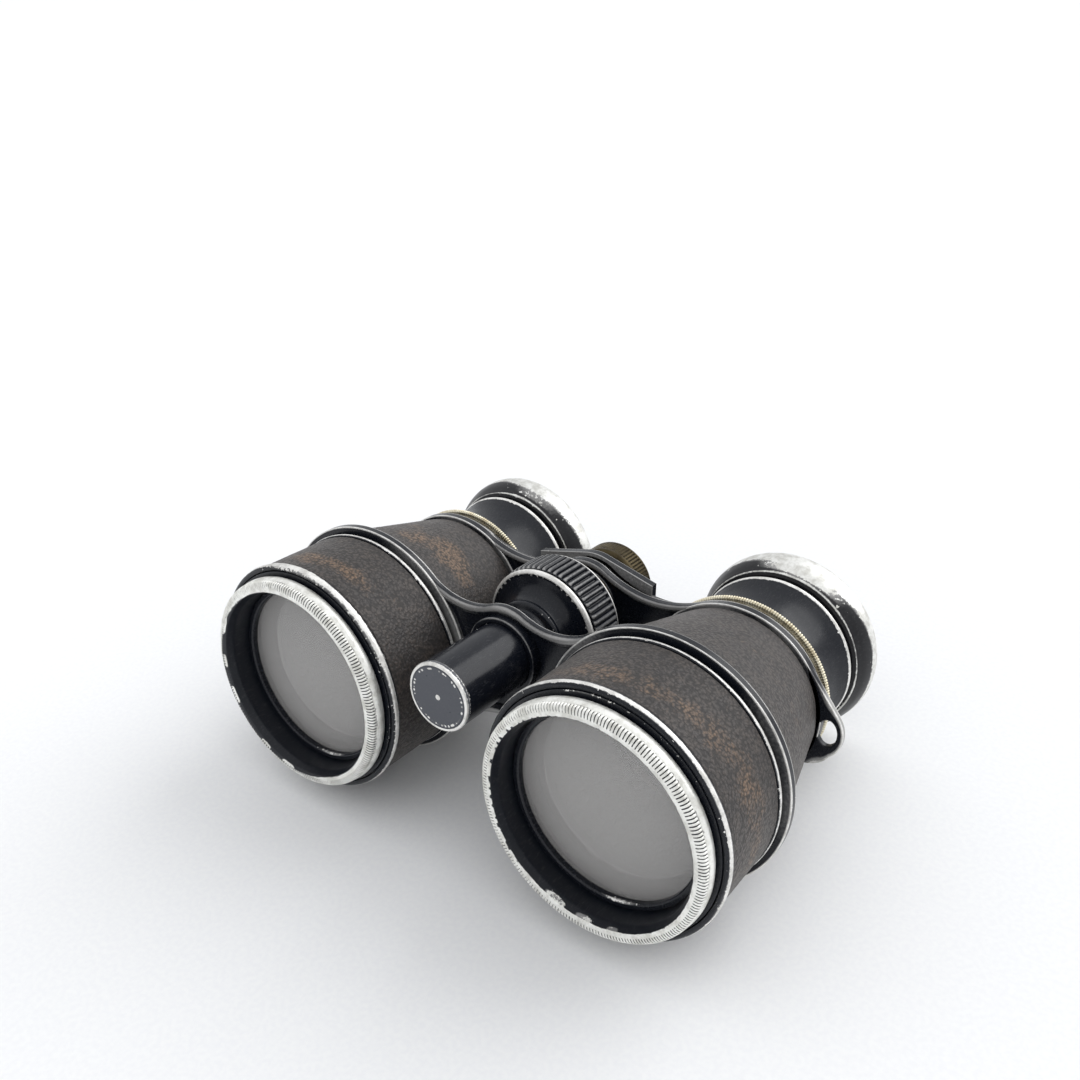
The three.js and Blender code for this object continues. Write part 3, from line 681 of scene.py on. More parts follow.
def pebbled(vertices, x, depth, skip):
    """Raises fine pebbles on the outside of a sleeve."""
    noise.seed_set(PEBBLE_SEED)  # otherwise noise_vector takes its offsets from the clock
    out = vertices.copy()
    for k in np.nonzero(~skip)[0]:
        p = vertices[k]
        warp = noise.noise_vector(Vector(p * 0.9)) * 0.35
        near = noise.voronoi(Vector(p) * 1.75 + warp)[0][0]
        swell = noise.noise(Vector(p * 0.25)) * 0.05
        lift = depth * (0.55 - near) + swell
        radial = np.array((p[0] - x, 0, p[2]))
        out[k] += radial / np.hypot(*radial[[0, 2]]) * lift
    return out


def sleeve(part, side, x, front, front_radius, rear, rear_radius, count):
    """Leather round a barrel, its long edges turned under."""
    glue, outer = 0.12, 0.82
    corners = [
        corner(front_radius + glue, front + 0.1, step=COARSE),
        corner(front_radius + outer, front + 0.1, 0.3, step=0.24),
        corner(rear_radius + outer, rear - 0.1, 0.3, step=COARSE),
        corner(rear_radius + glue, rear - 0.1, step=COARSE),
    ]
    vertices, faces, rub = revolve(corners, count, (x, 0))
    theta = np.arctan2(vertices[:, 2], vertices[:, 0] - x)
    along = (vertices[:, 1] - front) / (rear - front)
    surface = front_radius + (rear_radius - front_radius) * along
    reach = np.hypot(vertices[:, 0] - x, vertices[:, 2]) - surface
    vertices = pebbled(vertices, x, 0.07, reach < 0.5)
    rub = rub + rub_at(side, theta, vertices[:, 1])
    place(f"{part}_leather_{side}", (vertices, faces, rub), LEATHER,
          suffix="sleeve", attribute="rub", crease=60)


def leathers(side, x):
    sleeve("front", side, x, 4.9, 20.2, 19.4, 20.2, 520)
    sleeve("rear", side, x, 22.6, 20.2, 44.7, 15.15, 480)


# ---- bridges ----

LAP = 0.12  # how far, in radians, an edge runs on along the barrel's ring
BRIDGE_STEP = 0.5  # spacing of points along a bridge edge

def polar(angle):
    return np.stack([np.cos(angle), np.sin(angle)], -1)


def heading(a, b):
    return math.atan2(b[1] - a[1], b[0] - a[0])


def touching(a, reach_a, b, reach_b, side):
    """The centre of a circle that touches two others, at these distances from their centres."""
    a, b = np.array(a, float), np.array(b, float)
    span = np.hypot(*(b - a))
    along = (reach_a ** 2 - reach_b ** 2 + span ** 2) / (2 * span)
    across = math.sqrt(reach_a ** 2 - along ** 2) * side
    unit = (b - a) / span
    return a + unit * along + np.array((-unit[1], unit[0])) * across


def arcs_over(ring, hump, fillet):
    """The free upper edge of a bridge, from the left ring over the hump to the right one, as
    (centre, radius, sign, angle) rows. Sign says how the radius changes as the edge moves inwards."""
    hub, barrel = np.array((0, COLUMN_Z)), np.array((BARREL_X, 0))
    top = touching(hub, hump + fillet, barrel, ring + fillet, 1)
    spans = [
        (barrel, ring, -1, heading(barrel, top) - LAP, heading(barrel, top)),
        (top, fillet, 1, heading(top, barrel), heading(top, hub)),
        (hub, hump, -1, heading(hub, top), math.pi / 2),
    ]
    return mirrored_rows(spans)


def arcs_under(ring, fillet):
    barrel = np.array((BARREL_X, 0))
    below = touching(-barrel, ring + fillet, barrel, ring + fillet, -1)
    spans = [
        (barrel, ring, -1, heading(barrel, below) + LAP, heading(barrel, below)),
        (below, fillet, 1, heading(below, barrel), math.pi / 2),
    ]
    return mirrored_rows(spans)


def mirrored_rows(spans):
    """Samples arcs on the +X side and adds their mirror image on the other."""
    rows = []
    for middle, radius, sign, start, stop in spans:
        turn = (stop - start + math.pi) % TAU - math.pi
        steps = max(3, math.ceil(abs(turn) * radius / BRIDGE_STEP))
        for t in np.linspace(0, 1, steps + 1):
            sunk = 0.1 * (1 - t) if middle[0] and sign < 0 else 0
            rows.append((middle[0], middle[1], radius - sunk, sign, start + turn * t))
    half = np.array(rows)
    keep = np.concatenate([[True], np.hypot(*np.diff(edge_points(half, 0), axis=0).T) > 1e-4])
    half = half[keep]
    other = half[::-1].copy()
    other[:, 0] *= -1
    other[:, 4] = math.pi - other[:, 4]
    return np.concatenate([half, other[1:]])


def edge_points(rows, inset):
    return rows[:, :2] + (rows[:, 2] + rows[:, 3] * inset)[:, None] * polar(rows[:, 4])


def band(a, b):
    """Quads between two closed loops of the same length."""
    return np.stack([a, np.roll(a, -1), np.roll(b, -1), b], 1).tolist()


def at_station(points, station):
    """A loop of points given in X and Z, at one station."""
    return np.stack([points[:, 0], np.full(len(points), station), points[:, 1]], 1)


def strip(rows, corners, shade=None):
    """A bar swept along a bridge edge. Its profile is (inset, station) corners."""
    table = trace(corners)
    loops = np.stack([edge_points(rows, inset) for inset in table[:, 0]], 1)
    count, deep = loops.shape[:2]
    station = np.repeat(table[None, :, 1], count, 0)
    vertices = np.stack([loops[..., 0], station, loops[..., 1]], -1).reshape(-1, 3)
    wear_and_sheen = np.repeat(table[None, :, 2], count, 0)
    if shade is not None:
        wear_and_sheen = wear_and_sheen + shade(loops[..., 0], loops[..., 1], station)
    index = np.arange(count * deep).reshape(count, deep)
    faces = []
    for a, b in zip(index, index[1:]):
        faces += band(a, b)
    faces += [index[0][::-1].tolist(), index[-1].tolist()]
    return outward(vertices, faces, wear_and_sheen.reshape(-1))


def outward(vertices, faces, wear_and_sheen):
    """Turns every face over if the closed shell is inside out."""
    volume = 0.0
    for face in faces:
        a = vertices[face[0]]
        for k in range(1, len(face) - 1):
            volume += np.dot(a, np.cross(vertices[face[k]], vertices[face[k + 1]]))
    if volume < 0:
        faces = [face[::-1] for face in faces]
    return vertices, faces, wear_and_sheen


def filled(outline, hole, clockwise):
    """Triangles that fill an outline round a hole, as indices into both loops in turn."""
    loops = [[Vector((p[0], p[1], 0)) for p in loop] for loop in (outline, hole) if len(loop)]
    flat = np.concatenate([outline, hole]) if len(hole) else outline
    triangles = []
    for triangle in tessellate_polygon(loops):
        turned = signed_area(flat[list(triangle)]) < 0
        triangles.append(list(triangle) if turned == clockwise else list(triangle)[::-1])
    return triangles


def slab(points, front, rear, bevel=0.12, edge=0.0, bore=0.0):
    """A plate outlined in X and Z with rounded edges, and a bore for the column if one is given."""
    points = np.asarray(points, float)
    if signed_area(points) < 0:
        points = points[::-1]
    run = np.roll(points, -1, 0) - np.roll(points, 1, 0)
    inward = np.stack([-run[:, 1], run[:, 0]], 1) / np.maximum(np.hypot(*run.T), 1e-9)[:, None]
    quarter = np.linspace(0, math.pi / 2, 4)[1:]
    face = [(bevel, front, edge * 0.7)]
    face += [(bevel * (1 - math.sin(t)), front + bevel * (1 - math.cos(t)), edge) for t in quarter]
    back = [(inset, front + rear - y, worn) for inset, y, worn in face[::-1]]
    inner = min(0.14, (rear - front) / 2 - bevel - 0.02)
    levels = face + [(0, front + bevel + inner, 0.0), (0, rear - bevel - inner, 0.0)] + back
    rings = [points + inward * inset for inset, _, _ in levels]
    hole = HUB + bore * polar(np.arange(72) * TAU / 72) if bore else np.empty((0, 2))
    loops = [at_station(ring, y) for ring, (_, y, _) in zip(rings, levels)]
    loops += [at_station(hole, y) for y in (front, rear)]
    shades = [np.full(len(points), worn) for _, _, worn in levels] + [np.zeros(2 * len(hole))]
    index = np.arange(len(points) * len(levels)).reshape(len(levels), -1)
    first_hole = index.size + np.arange(len(hole))
    last_hole = first_hole + len(hole)
    faces = []
    for a, b in zip(index, index[1:]):
        faces += band(a, b)
    faces += band(last_hole, first_hole)
    for ring, outer, inner, clockwise in ((rings[0], index[0], first_hole, True),
                                          (rings[-1], index[-1], last_hole, False)):
        names = np.concatenate([outer, inner])
        faces += [[int(names[k]) for k in triangle] for triangle in filled(ring, hole, clockwise)]
    return outward(np.concatenate(loops), faces, np.concatenate(shades))


def between(over, under, inset, clearance):
    """The outline between two barrels: under the upper edge, over the lower edge, clear of both."""
    def clear_of_barrels(points):
        away = np.minimum(np.hypot(points[:, 0] - BARREL_X, points[:, 1]),
                          np.hypot(points[:, 0] + BARREL_X, points[:, 1]))
        return points[away > clearance]
    top = clear_of_barrels(edge_points(over, inset))
    bottom = clear_of_barrels(edge_points(under, inset))
    barrel = np.array((BARREL_X, 0))
    start, stop = heading(barrel, top[0]), heading(barrel, bottom[0])
    turn = (stop - start) % TAU
    right = barrel + clearance * polar(start + turn * np.linspace(0, 1, 40))[1:-1]
    left = right * np.array((-1, 1))
    return np.concatenate([top[::-1], right, bottom, left[::-1]])


def ring_flange(x, bore, radius, front, rear, seed, edge):
    corners = [
        corner(bore, front, 0.05, step=0.2, wear_and_sheen=0.1),
        corner(radius, front, 0.16, edge=edge, spread=0.15, step=0.14),
        corner(radius, rear, 0.14, edge=edge * 0.6, spread=0.16, step=0.25),
        corner(bore, rear, 0.05, step=COARSE),
    ]
    return revolve(corners, 240, (x, 0), shade=uneven(seed, 0.24, 0.15, 70))


def flanges(bore, radius, front, rear, seed, edge):
    """The rings of a bridge round both barrels."""
    return [ring_flange(x, bore, radius, front, rear, seed + i, edge) for i, (_, x) in enumerate(BARRELS)]


def boss(radius, front, rear, bore, seat):
    """The middle boss, bored for the centre tube as far as its seat and for the wheel behind it."""
    corners = [
        corner(bore, front, 0.1, step=0.3),
        corner(radius, front, 0.25, edge=0.3, step=0.3),
        corner(radius, rear, 0.05, step=COARSE),
        corner(JOURNAL_BORE, rear, step=COARSE),
        corner(JOURNAL_BORE, seat, step=COARSE),
        corner(bore, seat, step=COARSE),
    ]
    return revolve(corners, 120, (0, COLUMN_Z), shade=uneven(61, 0.2))


def front_bridge():
    over = arcs_over(22.4, 8.7, 13)
    under = arcs_under(22.4, 14)
    # The lighter satin band along the bar's crest is partly rubbed paint and partly a painted highlight along
    # the rim.
    bar = [
        corner(0.0, 21.25, 0.25, wear_and_sheen=0.36, step=0.16),
        corner(0.42, 20.95, 0.3, wear_and_sheen=0.46, step=0.16),
        corner(1.0, 20.92, 0.3, wear_and_sheen=0.16, step=0.16),
        corner(1.88, 21.3, 0.25, wear_and_sheen=0.0, step=0.3),
        corner(1.9, 22.24, step=COARSE),
        corner(0.0, 22.24, 0.16, edge=0.75, spread=0.2, step=0.25),
    ]

    # Fades the band, rub and painted highlight alike, towards the barrels, with a slow ripple, on the front
    # only.
    def shade(x, z, station):
        fade = np.clip((np.abs(x) - 14) / 8, 0, 1)
        return (-0.12 * fade + 0.05 * np.sin(x * 0.6 + z * 0.5)) * (station < 21.9)
    web = slab(between(over, under, 1.7, 21.4), 21.7, 23.4, 0.1, edge=0.2, bore=6.5)
    solid = merged(
        *flanges(20.35, 22.4, 20.9, 22.3, 71, 0.9),
        strip(over, bar, shade),
        strip(under, bar, shade),
        web,
        boss(7.0, 19.7, 23.35, 6.1, 22.08),
    )
    place("front_bridge", solid, RUBBED_AND_SHEEN_LACQUER)


def strap_ear(sign):
    """The ear on the rear bridge: a loop between its outer outline and an oval hole."""
    ear, radius, ring = np.array((14.9, -1.4)), 5.8, 16.6
    hole_centre = np.array((17.9, -1.3))
    hole = np.array((1.7, 2.5)) * polar(np.arange(180) * TAU / 180)
    tilt = math.acos((ring - radius) / math.hypot(*ear))
    upper = heading((0, 0), ear) + tilt
    lower = max(heading((0, 0), ear) - tilt, -math.pi / 2)
    arc = ear + radius * polar(np.linspace(lower, upper, 60))
    inner = (ring - 0.9) * polar(np.linspace(upper, lower, 30))
    side = np.linspace(arc[-1], (ring - 0.05) * polar(np.array(upper)), 12)[1:]
    outline = np.concatenate([arc, side, inner]) - hole_centre
    direction = np.arctan2(hole[:, 1], hole[:, 0])
    near = np.hypot(*hole.T)
    far = np.interp(direction, np.arctan2(outline[:, 1], outline[:, 0]), np.hypot(*outline.T), period=TAU)
    middle, rim = (far + near) / 2, far - 0.02
    front, rear, bevel, band_width = 45.0, 46.2, 0.16, 0.34
    levels = [
        (near, front + bevel, 0.2), (near + bevel, front, 0.15), (middle, front, 0),
        (far - bevel, front, 0.75), (rim, front + bevel, 0.9),
        (rim, front + band_width, 0.42), (rim, rear - band_width, 0.42),
        (rim, rear - bevel, 0.9), (far - bevel, rear, 0.75), (middle, rear, 0), (near + bevel, rear, 0.1),
        (near, rear - bevel, 0.2),
    ]
    loops, shades = [], []
    for reach, station, worn in levels:
        points = hole_centre + reach[:, None] * polar(direction)
        shades.append(worn * np.clip((np.hypot(*points.T) - 16.4) / 1.6, 0.3, 1))
        loops.append(at_station((points + (BARREL_X, 0)) * (sign, 1), station))
    index = np.arange(len(hole) * len(levels)).reshape(len(levels), -1)
    faces = []
    for a, b in zip(index, np.roll(index, -1, 0)):
        faces += band(a, b)
    return outward(np.concatenate(loops), faces, np.concatenate(shades))


def rear_bridge():
    over = arcs_over(16.6, 8.2, 20)
    under = arcs_under(16.6, 22)
    # As on the front bridge, the lighter band along the bar's crest is partly rubbed paint and partly a
    # painted highlight.
    bar = [
        corner(0.0, 45.25, 0.2, wear_and_sheen=0.36, step=0.16),
        corner(0.35, 45.0, 0.25, wear_and_sheen=0.44, step=0.16),
        corner(0.85, 45.0, 0.25, wear_and_sheen=0.14, step=0.16),
        corner(1.4, 45.3, 0.2, step=0.3),
        corner(1.4, 46.54, step=COARSE),
        corner(0.0, 46.54, 0.16, edge=0.75, spread=0.2, step=0.25),
    ]
    web = slab(between(over, under, 1.2, 15.4), 45.7, 46.48, 0.1, bore=5.5)
    solid = merged(
        *flanges(15.25, 16.6, 45.0, 46.6, 81, 0.8),
        strip(over, bar),
        strip(under, bar),
        web,
        boss(6.6, 45.0, 46.44, 4.95, 45.4),
        strap_ear(1),
        strap_ear(-1),
    )
    place("rear_bridge", solid, RUBBED_AND_SHEEN_LACQUER)


def sliding_bridge():
    over = arcs_over(15.4, 7.9, 20)
    under = arcs_under(15.4, 22)
    wings = slab(between(over, under, 0.0, 13.2), 48.0, 48.5, 0.12, edge=0.3)
    reach = math.hypot(12.5, 13.6 - COLUMN_Z)
    tangent = heading((0, COLUMN_Z), (12.5, 13.6)) + math.acos(8.5 / reach)
    crown = np.array((0, COLUMN_Z)) + 8.5 * polar(np.linspace(tangent, math.pi - tangent, 60))
    block = np.concatenate([[(12.5, 1.5), (12.5, 13.6)], crown, [(-12.5, 13.6), (-12.5, 1.5)]])
    block = refine(block, 0.8)
    solid = merged(
        *flanges(12.75, 15.4, 48.0, 48.5, 91, 0.7),
        wings,
        slab(block, 48.0, 49.6, 0.12, edge=0.42),
    )
    place("sliding_bridge", solid, RUBBED_AND_SHEEN_LACQUER, CARRIAGE)


def refine(points, step):
    """Adds points along a polygon so that no side is longer than step."""
    out = []
    for a, b in zip(points, np.roll(points, -1, 0)):
        pieces = max(1, math.ceil(np.hypot(*(b - a)) / step))
        out += [a + (b - a) * k / pieces for k in range(pieces)]
    return np.array(out)


# ---- centre column ----

FLUTES = 60
KNOB_TEETH = 72

def centre_tube():
    tube = [
        corner(5.2, 4.45, step=COARSE),
        corner(6.0, 4.45, 0.08, edge=0.5, wear_and_sheen=0.02, step=0.5),
        *hidden((6.0, 21.9), (5.2, 21.9)),
    ]

    def shade(theta, radius, station):
        # Painted highlight: a lighter band along the tube's top, at about 118 degrees, weaker towards the
        # cap.
        top = 0.22 * spread_over(theta, 118, 16) * np.clip((station - 8) / 10, 0.25, 1)
        return top + uneven(101, 0.06)(theta)
    place("centre_tube", revolve(tube, 160, HUB, shade=shade), LACQUER)
    cap = [
        corner(0, 3.52, step=SPARSE, wear_and_sheen=1.2),
        corner(0.36, 3.52, 0.1, step=0.1, wear_and_sheen=1.2),
        corner(0.48, 3.62, 0.02, step=0.1, wear_and_sheen=0.0),
        corner(0.9, 3.62, 0.1, step=0.5, wear_and_sheen=0.0),
        corner(4.5, 3.6, 0.0, step=0.1, wear_and_sheen=0.1),
        corner(5.0, 3.6, 0.0, step=0.1, wear_and_sheen=0.2, edge=0.2, spread=0.2),
        corner(5.3, 3.6, 0.05, step=0.1, wear_and_sheen=0.1),
        corner(5.42, 3.72, 0.05, step=0.1, wear_and_sheen=-0.4),
        corner(5.54, 3.62, 0.05, step=0.12, wear_and_sheen=1.1),
        corner(5.95, 3.6, 0.2, step=0.12, wear_and_sheen=1.1),
        corner(6.08, 3.85, 0.1, step=0.12, wear_and_sheen=0.25, edge=0.4),
        corner(6.08, 4.4, 0.04, step=COARSE),
        *hidden((5.05, 4.4), (5.05, 6.6), (0, 6.6)),
    ]

    def cap_shade(theta, radius, station):
        ring = np.exp(-((radius - 5.02) / 0.2) ** 2) * knocked(theta, 103, 0.4, 46) * 0.55
        return ring + uneven(102, 0.08)(theta)
    place("centre_tube_cap", revolve(cap, 360, HUB, closed=False, shade=cap_shade), SLATE)


def ridges(theta):
    """Rounded flutes of the wheel's drum: how deep the surface lies, and how dark it is."""
    across = (theta * FLUTES / TAU) % 1 * 2 - 1
    crest = np.sqrt(np.clip(1 - (across / 0.86) ** 2, 0, 1))
    return 0.6 * (1 - crest), 0.9 * (1 - crest)


def focus_wheel():
    hub = [
        *hidden((3.95, 22.4), (4.75, 22.4), (4.75, 24.0)),
        corner(5.6, 24.0, 0.1, step=0.4),
        corner(5.6, 26.6, 0.3, step=0.25),
        corner(6.75, 27.15, 0.3, edge=0.25, step=0.2),
        corner(6.98, 27.7, 0.3, edge=0.2, step=0.2),
        corner(6.62, 28.3, 0.25, step=0.2),
        corner(7.0, 29.4, 0.8, step=0.2),
        corner(8.3, 30.55, 0.9, step=0.2),
        corner(10.3, 31.05, 0.2, step=0.1, wear_and_sheen=0.42),
        corner(10.72, 30.95, 0.2, step=0.1, wear_and_sheen=1.15),
        corner(11.25, 31.3, 0.25, step=0.12, wear_and_sheen=0.8),
        corner(11.2, 31.8, 0.1, step=0.2, wear_and_sheen=0.1),
        corner(9.5, 31.9, 0.05, step=COARSE),
        corner(9.5, 39.45, 0.05, step=0.4),
        corner(8.9, 39.7, 0.2, edge=0.3, step=0.4),
        corner(6.0, 40.6, 0.5, step=0.3),
        corner(5.6, 41.4, 0.4, step=0.3),
        corner(5.6, 44.4, 0.1, step=0.5),
        *hidden((4.75, 44.4), (4.75, 46.4), (3.95, 46.4)),
    ]

    def shade(theta, radius, station):
        inner = np.exp(-((radius - 10.35) / 0.3) ** 2) * (station < 31.6)
        return inner * (0.6 * knocked(theta, 113, 0.4, 110) - 0.2) + uneven(111, 0.16)(theta)
    place("focus_wheel_hub", revolve(hub, 400, HUB, shade=shade), LACQUER, WHEEL)
    drum = [
        corner(9.65, 32.4, step=COARSE),
        corner(10.7, 32.4, 0.1, step=0.1, wear_and_sheen=0.05),
        corner(11.05, 32.45, 0.2, step=0.1, tooth=0.6, wear_and_sheen=0.4),
        corner(11.42, 32.8, 0.3, step=0.25, tooth=1.0, wear_and_sheen=0.3),
        corner(11.5, 33.4, 0.3, step=0.6, tooth=1.0, wear_and_sheen=0.27),
        corner(11.5, 38.5, 0.2, step=0.2, tooth=1.0, wear_and_sheen=0.27),
        corner(11.4, 38.8, 0.1, step=0.1, tooth=0.0, wear_and_sheen=0.2),
        corner(11.15, 38.9, 0.05, step=0.1, wear_and_sheen=0.7),
        corner(11.25, 39.15, 0.1, step=0.1, wear_and_sheen=0.8),
        corner(11.0, 39.3, 0.1, edge=0.3),
        corner(9.65, 39.3, step=COARSE),
    ]
    solid = revolve(drum, FLUTES * 16, HUB, ridges, uneven(112, 0.06))
    place("focus_wheel_drum", solid, RUBBED_AND_SHEEN_LACQUER, WHEEL)
    plain_ring("focus_nut", 3.15, 3.8, 28, 42, BRASS, WHEEL)
    for end, front in (("front", 23.55), ("rear", 44.55)):
        plain_ring(f"{end}_thrust_washer", 4.9, 6.5, front, front + 0.3, BRASS)


def plain_ring(node, bore, radius, front, rear, material, body="frame", axis=HUB):
    corners = [
        corner(bore, front, step=COARSE),
        corner(radius, front, 0.06, step=0.5),
        corner(radius, rear, 0.06, step=COARSE),
        corner(bore, rear, step=COARSE),
    ]
    place(node, revolve(bare(corners), 120, axis), material, body)


def spindle():
    shaft = [
        corner(0, 6.8, step=COARSE),
        corner(3.0, 6.8, 0.2, step=COARSE),
        corner(3.0, 43.0, step=0.25),
        *hidden((3.0, 47.9), (3.0, 54.4), (0, 54.4)),
    ]
    place("focus_spindle", revolve(bare(shaft), 96, HUB, closed=False), STEEL, CARRIAGE)
    plain_ring("spindle_stop_collar", 3.15, 5.0, 6.8, 8.0, BRASS, CARRIAGE)
    knob = [
        *hidden((0, 54.55), (3.15, 54.55), (3.15, 49.8)),
        corner(5.6, 49.8, 0.1, step=0.4),
        corner(5.6, 51.0, 0.3, step=0.3),
        corner(7.35, 52.0, 0.3, step=0.2),
        corner(7.6, 52.4, 0.15, step=0.2),
        corner(7.6, 52.9, 0.05, step=0.2, tooth=1),
        corner(7.6, 55.9, 0.05, step=0.2),
        corner(7.6, 56.4, 0.3, step=0.3),
        corner(6.9, 56.6, 0.3, step=0.3),
        corner(4.6, 57.05, 1.0, step=0.3),
        corner(0, 57.4, step=COARSE),
    ]
    teeth = notches(KNOB_TEETH, 0.16, 0.9, 0.6, 5)
    place("spindle_knob", revolve(bare(knob), KNOB_TEETH * 8, HUB, teeth, closed=False), BRASS_AND_CASE_REFLECTION, CARRIAGE)
    pin_low, pin_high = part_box("spindle_cross_pin")
    low, high = pin_low.z / MM - AXIS_Z, pin_high.z / MM - AXIS_Z
    station = centre("spindle_cross_pin").y - LIP_Y
    pin = [corner(0, low, step=SPARSE), corner(0.4, low, 0.15), corner(0.4, high, 0.15),
           corner(0, high, step=SPARSE)]
    vertices, faces, wear_and_sheen = revolve(bare(pin), 32, closed=False)
    turned = np.stack([vertices[:, 0], station - vertices[:, 2], vertices[:, 1]], 1)
    place("spindle_cross_pin", outward(turned, faces, wear_and_sheen), STEEL, CARRIAGE)


# ---- eyepieces ----

def eyepiece(side, x):
    far = side == "right"
    plain_ring(f"draw_tube_{side}", 11.8, 12.6, 27, 51.6, STEEL, CARRIAGE, (x, 0))
    plain_ring(f"draw_tube_bush_{side}", 12.75, 14.15, 39.7, 46.3, BRASS, axis=(x, 0))
    plain_ring(f"ocular_retaining_ring_{side}", 9.3, 10.5, 59.5, 60.3, INNER_BLACK, CARRIAGE, (x, 0))
    knurled = [
        corner(12.75, 48.65, step=COARSE, wear_and_sheen=1),
        corner(15.45, 48.65, 0.1, step=0.2, wear_and_sheen=1, tooth=1),
        corner(16.1, 48.68, 0.1, step=0.12, wear_and_sheen=1, tooth=1),
        corner(16.42, 48.95, 0.15, step=0.12, wear_and_sheen=1, tooth=1),
        corner(16.42, 49.35, 0.12, step=0.12, wear_and_sheen=1, tooth=1),
        corner(16.2, 49.62, 0.1, step=0.12, wear_and_sheen=1, tooth=0.6),
        corner(15.6, 49.65, 0.1, step=0.4, wear_and_sheen=0.7),
        corner(12.75, 49.65, step=COARSE, wear_and_sheen=1),
    ]
    teeth = notches(RING_KNURL_COUNT, 0.13, 0.8, 0.5, 7)
    solid = revolve(knurled, RING_KNURL_COUNT * 6, (x, 0), teeth)
    place(f"eyepiece_knurled_ring_{side}", solid, PALE_BRASS, CARRIAGE)
    bell = [
        corner(12.75, 49.8, step=COARSE),
        corner(13.6, 49.8, 0.2, step=0.3),
        corner(13.0, 52.6, 1.2, step=0.3),
        corner(12.95, 54.6, 1.0, step=0.3),
        corner(13.15, 56.4, 1.0, step=0.3),
        corner(13.75, 58.8, 1.2, step=0.3),
        corner(14.75, 60.95, 0.5, step=0.14, wear_and_sheen=0.25),
        corner(15.2, 61.6, 0.3, edge=0.8, spread=0.4, step=0.14, wear_and_sheen=0.3),
        corner(14.85, 62.1, 0.15, step=0.14),
        corner(14.3, 62.35, 0.1, step=0.2),
        corner(14.3, 62.7, 0.05, step=COARSE),
        *hidden((12.7, 62.7), (12.7, 60.45), (10.7, 60.45), (10.7, 56.0), (9.5, 56.0), (11.3, 54.4),
                (11.3, 51.75), (12.75, 51.75), wear_and_sheen=-1),
    ]
    solid = revolve(bell, 200, (x, 0), shade=uneven(121 + far, 0.08, 0.06, 80))
    place(f"eyepiece_bell_{side}", solid, BELL_LACQUER, CARRIAGE)
    cup = [
        corner(9.6, 60.65, step=COARSE, wear_and_sheen=-0.5),
        *hidden((12.5, 60.65), (12.5, 62.95)),
        corner(14.9, 62.95, 0.1, step=0.2),
        corner(15.6, 63.2, 0.12, edge=0.6, spread=0.25, step=0.14, wear_and_sheen=0.1),
        corner(15.85, 63.5, 0.12, step=0.2, wear_and_sheen=0.0),
        corner(16.6, 64.7, 0.8, step=0.25, wear_and_sheen=0.03),
        corner(17.0, 65.7, 1.0, step=0.25, wear_and_sheen=0.34),
        corner(17.25, 66.6, 1.0, step=0.2, wear_and_sheen=0.85),
        corner(17.4, 67.9, 0.9, step=0.2, wear_and_sheen=1.0),
        corner(17.15, 69.1, 0.7, step=0.2, wear_and_sheen=1.0),
        corner(16.5, 69.95, 0.5, step=0.2, wear_and_sheen=0.7),
        corner(15.3, 69.95, 0.5, step=0.3, wear_and_sheen=0.1),
        corner(12.6, 66.6, 1.5, step=0.5, wear_and_sheen=-0.1),
        corner(9.6, 64.5, 0.3, step=0.5, wear_and_sheen=-0.2),
    ]

    def shade(theta, radius, station):
        crown = spread_over(theta, 70 if far else 80, 34) * np.clip((radius - 15.5) / 0.7, 0, 1)
        return crown * (0.5 if far else 0.95) + uneven(131 + far, 0.16)(theta)
    place(f"eyecup_{side}", revolve(cup, 240, (x, 0), shade=shade), CUP_PAINT, CARRIAGE)


for side, x in BARRELS:
    objective_cell(side, x)
    objective_ring(side, x)
    lenses(side, x)
    barrel_shell(side, x)
    trims(side, x)
    leathers(side, x)
    eyepiece(side, x)
front_bridge()
rear_bridge()
sliding_bridge()
centre_tube()
focus_wheel()
spindle()


# ---- floor, light and camera ----

def resting_plane():
    """The glasses rest on the front bridge rings and the eyecups: the plane's point and tilt."""
    ring_contact, cup_contact = 1.0 * MM, 2.2 * MM  # in from the bridge's front and the eyecup's rear
    front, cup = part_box("front_bridge"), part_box("eyecup_left")
    front_y = front[0].y + ring_contact
    tilt = math.atan2(cup[0].z - front[0].z, cup[1].y - cup_contact - front_y)
    return Vector((0, front_y, front[0].z)), tilt


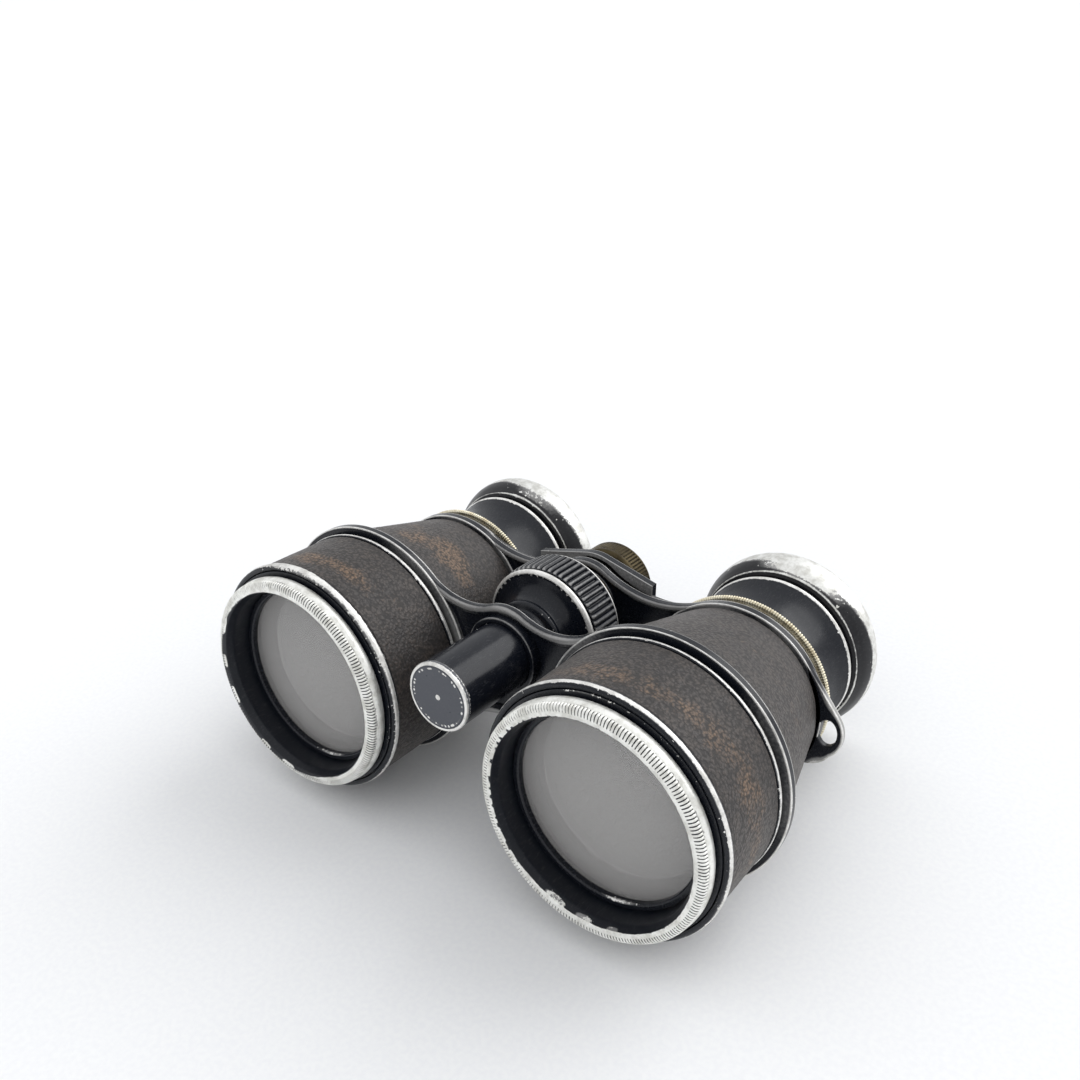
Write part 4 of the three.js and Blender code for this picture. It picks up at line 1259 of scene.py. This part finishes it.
def floor():
    """A pale sheet, large enough to fill the picture."""
    point, tilt = resting_plane()
    reach, parts = 9.0, 6
    ticks = np.linspace(-reach, reach, parts + 1)
    vertices = [(x, y, 0) for y in ticks for x in ticks]
    row = parts + 1
    corners = [r * row + c for r in range(parts) for c in range(parts)]
    mesh = bpy.data.meshes.new("floor")
    mesh.from_pydata(vertices, [], [(k, k + 1, k + row + 1, k + row) for k in corners])
    made = add_object("floor", mesh)
    made.matrix_world = Matrix.Translation(point) @ Matrix.Rotation(tilt, 4, "X")
    g = Graph("floor")
    grain = g.noise(1.2, 3, 0.5)
    mesh.materials.append(g.surface(
        Base_Color=g.mix(g.ramp(grain, 0.3, 0.7), (0.855, 0.86, 0.87), (0.885, 0.89, 0.89)),
        Roughness=0.85, Specular_IOR_Level=0.15))


def sun(name, toward, strength, spread):
    """A soft light from one direction, `spread` degrees wide."""
    data = bpy.data.lights.new(name, "SUN")
    data.energy, data.angle = strength, math.radians(spread)
    made = add_object(name, data)
    made.rotation_mode = "QUATERNION"
    made.rotation_quaternion = Vector(toward).to_track_quat("Z", "Y")


def world(side, zenith, colour):
    """A soft sky, brighter overhead."""
    made = bpy.data.worlds.new("studio")
    made.use_nodes = True
    tree = made.node_tree
    background = tree.nodes["Background"]
    background.inputs["Color"].default_value = (*colour, 1)
    direction = tree.nodes.new("ShaderNodeTexCoord")
    split = tree.nodes.new("ShaderNodeSeparateXYZ")
    tree.links.new(direction.outputs["Generated"], split.inputs[0])
    height = tree.nodes.new("ShaderNodeMapRange")
    for key, value in (("From Min", 0.0), ("From Max", 1.0), ("To Min", side), ("To Max", zenith)):
        height.inputs[key].default_value = value
    tree.links.new(split.outputs["Z"], height.inputs["Value"])
    tree.links.new(height.outputs["Result"], background.inputs["Strength"])
    bpy.context.scene.world = made


def camera():
    """The viewpoint that was fitted to the picture, in the row frame."""
    data = bpy.data.cameras.new("camera")
    data.sensor_width = 36
    data.lens = 36.08
    data.clip_start, data.clip_end = 0.01, 20
    made = add_object("camera", data)
    place_mm = Vector((98.907, -139.260, 125.156))
    right = Vector((0.8043, 0.5942, 0.0082))
    up = Vector((-0.25458, 0.33215, 0.90822))
    forward = Vector((-0.53692, 0.73257, -0.41841))
    turn = Matrix((right, up, -forward)).transposed().to_4x4()
    made.matrix_world = Matrix.Translation(place_mm * MM) @ turn
    bpy.context.scene.camera = made


floor()
world(0.68, 1.1, (0.97, 0.98, 1.0))
sun("key", (0.42, 0.62, 0.66), 1.3, 54)
camera()
bpy.context.scene.view_settings.view_transform = "Standard"
